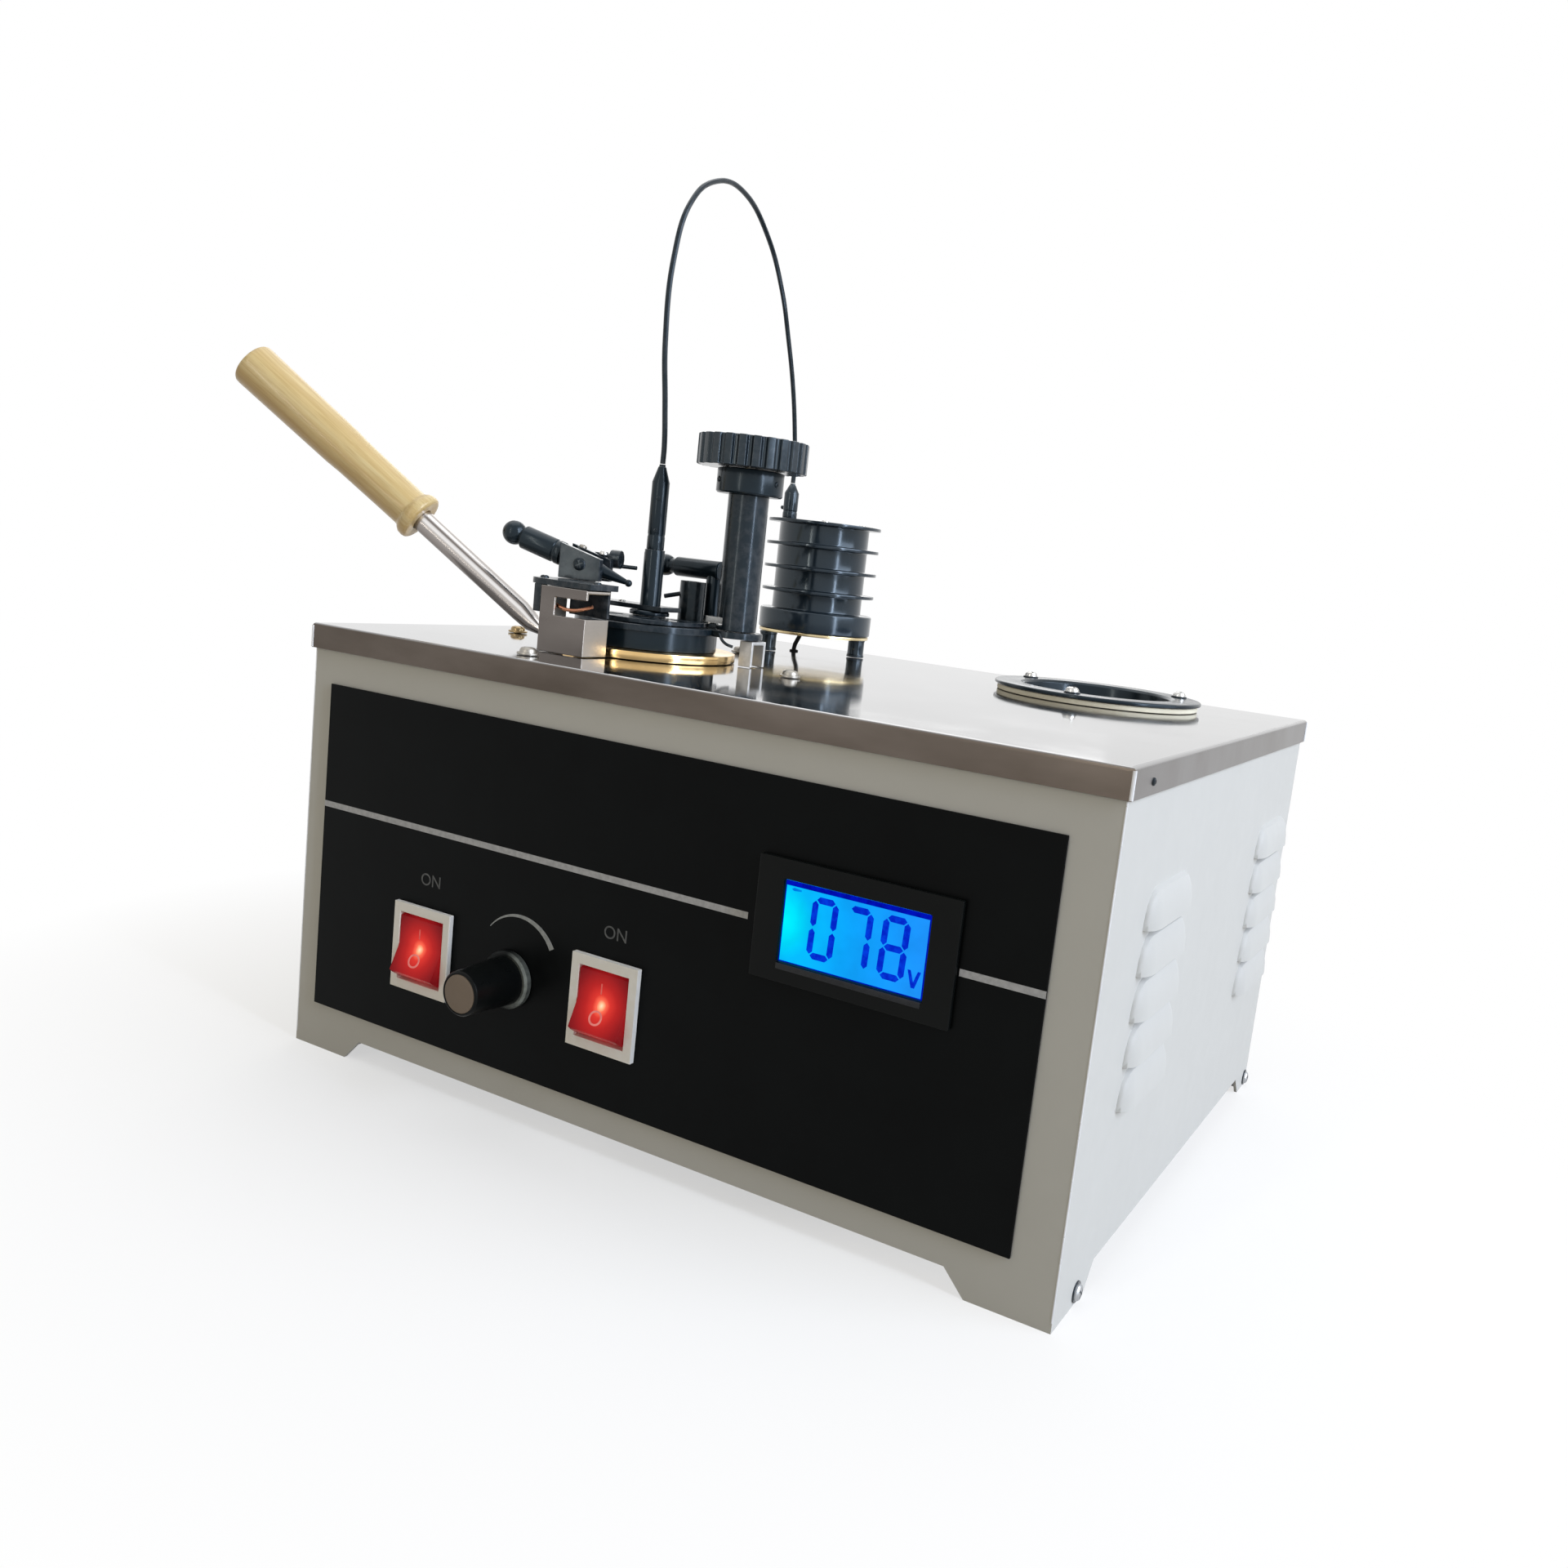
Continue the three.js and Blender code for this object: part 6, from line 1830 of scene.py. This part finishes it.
@dataclass
class CoverFittings:
    """The steel brackets, the strip and wire by the lid, and the cover screws."""

    axis: Vector = field(default_factory=lambda: centre_of("air_bath"))
    strip: tuple[Colour, ...] = (
        (-12.0, -57.5, 23.5), (-7.0, -57.0, 20.4), (-1.0, -56.5, 19.2), (5.0, -55.5, 20.2),
        (10.0, -54.0, 22.5),
    )
    hook: tuple[Colour, ...] = (
        (39.0, 3.5, 15.4), (40.5, 2.2, 13.4), (42.5, 1.6, 11.4), (45.0, 2.0, 10.0), (47.5, 3.0, 9.6),
    )
    brass_screw: int = 3

    def build(self) -> None:
        """Build and dress every piece."""
        # The bracket's colours by facing are painted reflection and shade, as on the cover.
        steel = CoverSteel(
            "bracket_steel",
            (0.50, 0.48, 0.46), (0.40, 0.38, 0.36), (0.105, 0.09, 0.082), (0.205, 0.185, 0.17),
            (0.70, 0.655, 0.60), (0.56, 0.52, 0.48), (0.2, 0.3, 0.26),
        ).material()
        pale = Finish.PALE_STEEL.made()
        worked_up("front_bracket", "front_clamp", (0.35, 2), Body.HOUSING, steel)
        worked_up("side_bracket", "side_clamp", (0.3, 2), Body.HOUSING, pale)
        for name, route, radius, body, finish in (
            ("copper_spring", self.strip, 0.8, Body.HOUSING, Finish.COPPER),
            ("wire_hook", self.hook, 0.7, Body.LID, Finish.BLACKENED),
        ):
            points = [on_deck(self.axis, *spot) for spot in route]
            fit(swept(name, points, radius, 12), body, finish.made())
        for number in range(1, 5):
            self.build_cover_screw(number)

    def build_cover_screw(self, number: int) -> None:
        """Build one slotted screw with its washer."""
        node = f"stove_screw_{number}"
        centre = centre_of(node)
        seat = Vector((centre.x, centre.y, DECK))
        profile = [
            (0.0, -8.0), (2.0, -8.0), (2.0, 0.3), (4.7, 0.3), (4.7, 1.2), (3.6, 1.3), (3.55, 2.3),
            (3.0, 3.1), (1.8, 3.5), (0.0, 3.6),
        ]
        screw = turned(f"cover_screw_{number}", profile, Vector(), UP, 48, 0.12)
        half = 4.0 * MM
        slot = bar(
            f"{node}_slot", Vector((-half, -0.45 * MM, 2.5 * MM)), Vector((half, 0.45 * MM, 6.0 * MM)), 0.0
        )
        slot.rotation_euler = (0.0, 0.0, math.radians(20.0 + 50.0 * number))
        combine(screw, [settle(slot)], "DIFFERENCE")
        placed(screw, seat)
        finish = Finish.DULL_STEEL.made()
        if number == self.brass_screw:
            tones = (0.62, 0.46, 0.22), (0.20, 0.14, 0.075)
            finish = TurnedMetal(f"screw_brass_{number}", *tones, seat, (0.2, 0.36)).material()
        fit(rounded(screw, 0.0), Body.HOUSING, finish, [node])


@dataclass
class Motor:
    """The finned stirring motor on two legs, with its spindle, ferrule and lead."""

    radius: float = 25.5
    fin_radius: float = 32.0
    low: float = 13.2
    flange: float = 11.6
    first_fin: float = 22.2
    fin_pitch: float = 12.8
    fins: int = 4
    fin_thick: float = 1.8
    bore_depth: float = 12.4
    lead_x: float = -9.0
    lead_depth: float = 12.2
    plate_low: float = 11.3
    plate_thick: float = 1.6
    plate_radius: float = 31.4
    axis: Vector = field(default_factory=lambda: centre_of("motor_plate"))

    def build(self) -> None:
        """Build and dress every piece."""
        black = Finish.ANODISED.made()
        low, top = self.low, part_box("motor_housing")[1].z / MM - DECK / MM
        housing = turned("motor_body", self.housing_profile(low), on_deck(self.axis), UP, 128, 0.35)
        spindle = centre_of("motor_spindle")
        bore = drum("spindle_bore", 2.5, top - self.bore_depth, top + 2.0, on_deck(spindle))
        spot = on_deck(self.axis, self.lead_x)
        lead = drum("lead_bore", 1.7, low - 2.0, low + self.lead_depth, spot, sides=24)
        combine(housing, [bore, lead], "DIFFERENCE")
        fit(rounded(housing, 0.0), Body.HOUSING, black, ["motor_housing"])
        for number, azimuth in enumerate((30.0, 120.0, 210.0, 300.0), 1):
            x, y = around(21.0, azimuth)
            if (on_deck(self.axis, x, y) - on_deck(spindle)).length > 8.0 * MM:
                fit(
                    screw_head(f"motor_screw_{number}", 2.2, 1.3, on_deck(self.axis, x, y, top), UP),
                    Body.HOUSING,
                    Finish.BRIGHT_STEEL.made(),
                )
        self.build_base(black)
        self.build_drive_end(black, spindle, top)

    def housing_profile(self, low: float) -> Profile:
        """Draw the housing from its base flange up past its fins."""
        points = [
            (0.0, low), (self.fin_radius - 0.6, low), (self.fin_radius, low + 0.6),
            (self.fin_radius, low + self.flange - 0.8), (self.fin_radius - 0.8, low + self.flange),
            (self.radius + 0.6, low + self.flange), (self.radius, low + self.flange + 0.6),
        ]
        for fin in range(self.fins):
            base = low + self.first_fin + fin * self.fin_pitch - self.fin_thick / 2
            points += [(self.radius, base - 0.5), (self.radius + 0.5, base), (self.fin_radius, base)]
            points += [(self.fin_radius, base + self.fin_thick)]
            if fin < self.fins - 1:
                points += [
                    (self.radius + 0.5, base + self.fin_thick), (self.radius, base + self.fin_thick + 0.5)
                ]
        top = points[-1][1]
        return points + [(24.0, top), (23.4, top - 0.5), (22.6, top - 0.5), (22.0, top), (0.0, top)]

    def build_base(self, black: bpy.types.Material) -> None:
        """Build the brass plate, the two legs and the lead."""
        seat, top = on_deck(self.axis), self.plate_low + self.plate_thick
        base = drum("motor_base", self.plate_radius, self.plate_low, top, seat, UP, 96, 0.2)
        hole = drum("base_hole", 1.65, 9.0, 15.0, on_deck(self.axis, self.lead_x), sides=24)
        combine(base, [hole], "DIFFERENCE")
        brass = TurnedMetal("plate_brass", (0.80, 0.68, 0.42), (0.55, 0.43, 0.24), on_deck(self.axis))
        fit(rounded(base, 0.0), Body.HOUSING, brass.material(), ["motor_plate"])
        for node in ("motor_leg_front", "motor_leg_rear"):
            centre = centre_of(node)
            leg = [
                (0.0, 0.3), (5.0, 0.3), (5.0, 1.6), (4.7, 1.9), (4.7, 9.4), (5.0, 9.7), (5.0, 11.0),
                (0.0, 11.0),
            ]
            fit(
                turned(f"{node}_post", leg, on_deck(centre), UP, 64, 0.15),
                Body.HOUSING,
                black,
                [node],
            )
        worked_up("motor_lead", "motor_cable", (0.0,), Body.HOUSING, Finish.RUBBER.made())
        collar = turned(
            "lead_grommet",
            [(1.5, -1.6), (2.3, -0.6), (2.5, 0.1), (2.5, 0.5), (2.2, 0.8), (1.5, 0.9), (1.5, -1.6)],
            on_deck(self.axis, -12.0, 0.0, 0.1),
            UP,
            40,
            0.1,
        )
        fit(collar, Body.HOUSING, Finish.RUBBER.made())

    def build_drive_end(self, black: bpy.types.Material, spindle: Vector, top: float) -> None:
        """Build the ferrule that holds the flexible shaft on the spindle."""
        dress(Finish.BRIGHT_STEEL.made(), "motor_spindle")
        low = top + 0.3
        profile = [
            (2.3, low), (4.1, low), (4.1, low + 3.4), (3.9, low + 3.7), (3.9, low + 4.3), (4.1, low + 4.6),
            (4.1, low + 14.2), (3.8, low + 14.9), (1.9, low + 18.6), (1.5, low + 18.9), (1.5, low + 19.6),
            (0.0, low + 19.6), (0.0, low + 10.3), (2.3, low + 10.3), (2.3, low),
        ]
        ferrule = turned("spindle_socket", profile, on_deck(spindle), UP, 64, 0.12)
        fit(ferrule, Body.ROTOR, black, ["spindle_ferrule"])
        way = Vector((-1.0, 0.0, 0.0))
        stud = turned(
            "set_screw",
            [(0.0, 3.4), (1.1, 3.4), (1.1, 5.7), (0.8, 6.1), (0.0, 6.1)],
            on_deck(spindle, 0.0, 0.0, low + 6.0),
            way,
            24,
            0.1,
        )
        fit(stud, Body.ROTOR, black)


@dataclass
class RestWell:
    """The black-rimmed well for the hot cup, its cream gasket and its screws."""

    axis: Vector = field(default_factory=lambda: centre_of("rest_well"))
    screw_azimuths: tuple[float, ...] = (40.0, 160.0, 273.0)

    def build(self) -> None:
        """Build and dress every piece."""
        gasket = [(39.4, 0.3), (50.5, 0.3), (50.5, 2.7), (39.4, 2.7), (39.4, 0.3)]
        fit(
            turned("fibre_gasket", gasket, on_deck(self.axis), UP, 128, 0.35),
            Body.HOUSING,
            Finish.FIBRE.made(),
            ["well_gasket"],
        )
        bowl = [
            (0.0, -31.0), (36.5, -31.0), (39.0, -28.5), (39.0, 3.0), (51.6, 3.0), (52.0, 3.4), (52.0, 4.4),
            (51.4, 4.9), (38.9, 4.9), (37.5, 3.6), (37.5, -27.8), (35.8, -29.5), (0.0, -29.5),
        ]
        piece = turned("cup_rest", bowl, on_deck(self.axis), UP, 128, 0.2)
        fit(piece, Body.HOUSING, Finish.BLACKENED.made(), ["rest_well"])
        for number, azimuth in enumerate(self.screw_azimuths, 1):
            x, y = around(45.0, azimuth)
            seat = on_deck(self.axis, x, y, 4.8)
            fit(washer(f"well_washer_{number}", 4.0, 0.9, seat, UP), Body.HOUSING, Finish.BLACKENED.made())
            head = screw_head(f"well_screw_{number}", 3.3, 2.3, seat + UP * 0.9 * MM, UP)
            fit(head, Body.HOUSING, Finish.BRIGHT_STEEL.made())


@dataclass
class Interior:
    """The stove and the electrical fittings inside the case."""

    inlet_pins: tuple[tuple[float, float], ...] = ((-6.5, 2.6), (6.5, 2.6), (0.0, -2.6))

    def build(self) -> None:
        """Dress the hidden nodes and finish the fittings that show at the back."""
        dress(Finish.CAST.made(), "air_bath")
        dress(Finish.ZINC.made(), "heater_element", "stove_shell")
        dress(Finish.FIBRE.made(), "insulation")
        dress(Finish.BOARD.made(), "regulator_board")
        black = Finish.BLACK_PLASTIC.made()
        worked_up("power_inlet", "inlet_socket", (0.5, 2), Body.HOUSING, black)
        worked_up("fuse_holder", "fuse_cap", (0.4, 2), Body.HOUSING, black)
        low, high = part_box("power_inlet")
        centre = (low + high) / 2
        for number, (x, z) in enumerate(self.inlet_pins, 1):
            root = Vector((centre.x + x * MM, high.y - 14.4 * MM, centre.z + z * MM))
            pin = bar(
                f"inlet_pin_{number}",
                root - Vector((1.0, 0.0, 2.0)) * MM,
                root + Vector((1.0, 10.5, 2.0)) * MM,
                0.3,
            )
            fit(pin, Body.HOUSING, Finish.BRIGHT_STEEL.made())


@dataclass
class Studio:
    """A pale floor, soft light and the camera at the photograph's viewing angle."""

    focal: float = 1622.63
    centre: tuple[float, float] = (1045.68, 931.58)
    eye: tuple[float, float, float] = (313.0, -570.6, 255.7)
    right: Colour = (0.87046, 0.47926, 0.11230)
    down: Colour = (0.16897, -0.07664, -0.98264)
    ahead: Colour = (-0.46233, 0.87432, -0.14769)
    sensor: float = 36.0
    sky: float = 0.25
    floor_side: float = 12.0
    bounce: Colour = (0.33, 0.30, 0.235)

    def build(self) -> None:
        """Build the stage, the lamps and the camera."""
        self.build_camera()
        self.build_world()
        self.build_floor()
        cool, plain, warm = (0.77, 0.85, 1.0), (1.0, 1.0, 1.0), (1.0, 0.94, 0.84)
        self.add_lamp("side_light", (2.6, 0.3, 1.6), (0.1, 0.0, 0.1), (2.2, 2.2), 75.0, cool)
        self.add_lamp("top_light", (-0.5, 0.3, 2.8), (0.0, 0.0, 0.0), (2.6, 2.6), 24.0, plain)
        self.add_lamp("rear_light", (-1.4, 2.4, 1.5), (0.0, 0.0, 0.2), (1.8, 1.8), 11.0, plain)
        self.add_lamp("right_strip", (1.55, -0.42, 0.75), (0.0, 0.0, 0.3), (0.1, 1.5), 11.0, cool)
        self.add_lamp("front_strip", (-0.12, -1.75, 0.75), (0.0, 0.0, 0.3), (0.07, 1.5), 4.0, warm)
        bpy.context.scene.view_settings.view_transform = "Standard"

    def build_camera(self) -> None:
        """Place the camera as the photograph was taken."""
        data = bpy.data.cameras.new("photo_camera")
        data.sensor_width = self.sensor
        data.lens = self.focal / PHOTO_SIDE * self.sensor
        data.shift_x = (PHOTO_SIDE / 2 - self.centre[0]) / PHOTO_SIDE
        data.shift_y = (self.centre[1] - PHOTO_SIDE / 2) / PHOTO_SIDE
        camera = bpy.data.objects.new("photo_camera", data)
        bpy.context.scene.collection.objects.link(camera)
        columns = Matrix((Vector(self.right), -Vector(self.down), -Vector(self.ahead))).transposed()
        camera.matrix_world = Matrix.Translation(on_case(*self.eye)) @ columns.to_4x4()
        bpy.context.scene.camera = camera

    def seen(self, tree: bpy.types.NodeTree) -> bpy.types.NodeSocket:
        """Tell rays that show the background from rays that only carry light.

        Args:
            tree: the node tree to add the test to.

        Returns:
            A value of 1 for camera, glossy and transmission rays, else 0.
        """
        path = tree.nodes.new("ShaderNodeLightPath")
        known = path.outputs["Is Camera Ray"]
        for label in ("Is Glossy Ray", "Is Transmission Ray"):
            either = tree.nodes.new("ShaderNodeMath")
            either.operation = "MAXIMUM"
            tree.links.new(known, either.inputs[0])
            tree.links.new(path.outputs[label], either.inputs[1])
            known = either.outputs[0]
        return known

    def build_world(self) -> None:
        """Light everything evenly, and show plain white to the camera and in reflections."""
        world = bpy.data.worlds.new("studio")
        bpy.context.scene.world = world
        world.use_nodes = True
        tree = world.node_tree
        tree.nodes.clear()
        output = tree.nodes.new("ShaderNodeOutputWorld")
        mix = tree.nodes.new("ShaderNodeMixShader")
        tree.links.new(self.seen(tree), mix.inputs[0])
        for place, colour, strength in (
            (1, (1.0, 0.93, 0.74, 1.0), self.sky), (2, (1.0, 1.0, 1.0, 1.0), 1.0)
        ):
            light = tree.nodes.new("ShaderNodeBackground")
            light.inputs["Color"].default_value = colour
            light.inputs["Strength"].default_value = strength
            tree.links.new(light.outputs[0], mix.inputs[place])
        tree.links.new(mix.outputs[0], output.inputs[0])

    def build_floor(self) -> None:
        """Lay the pale floor, which keeps the object's shadow and turns plain white further out."""
        bpy.ops.object.select_all(action="DESELECT")
        bpy.ops.mesh.primitive_plane_add(size=self.floor_side, location=(0.0, 0.0, 0.0))
        floor = settle(named("studio_floor"))
        surface = Surface("studio_floor", {"Roughness": 0.9, "Specular IOR Level": 0.0})
        seen = self.seen(surface.tree)
        surface.link(surface.mixed(seen, self.bounce, (0.95, 0.95, 0.95)), "Base Color")
        reach = surface.distance(surface.place)
        share = surface.maths("MULTIPLY", seen, surface.graded(reach, 0.16, 0.42, 0.5, 1.0))
        white = surface.node("ShaderNodeEmission", {}, {"Color": (1.0, 1.0, 1.0, 1.0), "Strength": 1.0})
        mix = surface.tree.nodes.new("ShaderNodeMixShader")
        surface.tree.links.new(share, mix.inputs[0])
        surface.tree.links.new(surface.shader.outputs[0], mix.inputs[1])
        surface.tree.links.new(white.outputs[0], mix.inputs[2])
        surface.tree.links.new(mix.outputs[0], surface.tree.nodes["Material Output"].inputs["Surface"])
        floor.data.materials.append(surface.material)

    def add_lamp(
        self,
        name: str,
        where: Colour,
        target: Colour,
        size: tuple[float, float],
        power: float,
        colour: Colour,
    ) -> None:
        """Hang one soft lamp.

        Args:
            name: the lamp's name.
            where: its place in metres.
            target: the point it looks at.
            size: its width and height in metres.
            power: its power in watts.
            colour: the colour of its light.
        """
        data = bpy.data.lights.new(name, "AREA")
        data.shape = "RECTANGLE"
        data.size, data.size_y = size
        data.energy = power
        data.color = colour
        lamp = bpy.data.objects.new(name, data)
        bpy.context.scene.collection.objects.link(lamp)
        lamp.location = where
        lamp.rotation_mode = "QUATERNION"
        lamp.rotation_quaternion = (Vector(target) - Vector(where)).to_track_quat("-Z", "Y")


def main() -> None:
    """Build the studio and every sub-assembly."""
    switches = [RockerSwitch(role) for role in SwitchRole]
    bench = [HeatKnob(), CupUnit(), LidUnit(), ShutterColumn(), StirrerDrive(), FlameLamp()]
    parts = [Studio(), Case(), Display(), *switches, *bench, CoverFittings(), Motor(), RestWell(), Interior()]
    for part in parts:
        log.info("building %s", type(part).__name__)
        part.build()


if __name__ == "__main__":
    logging.basicConfig(level=logging.WARNING)
    main()
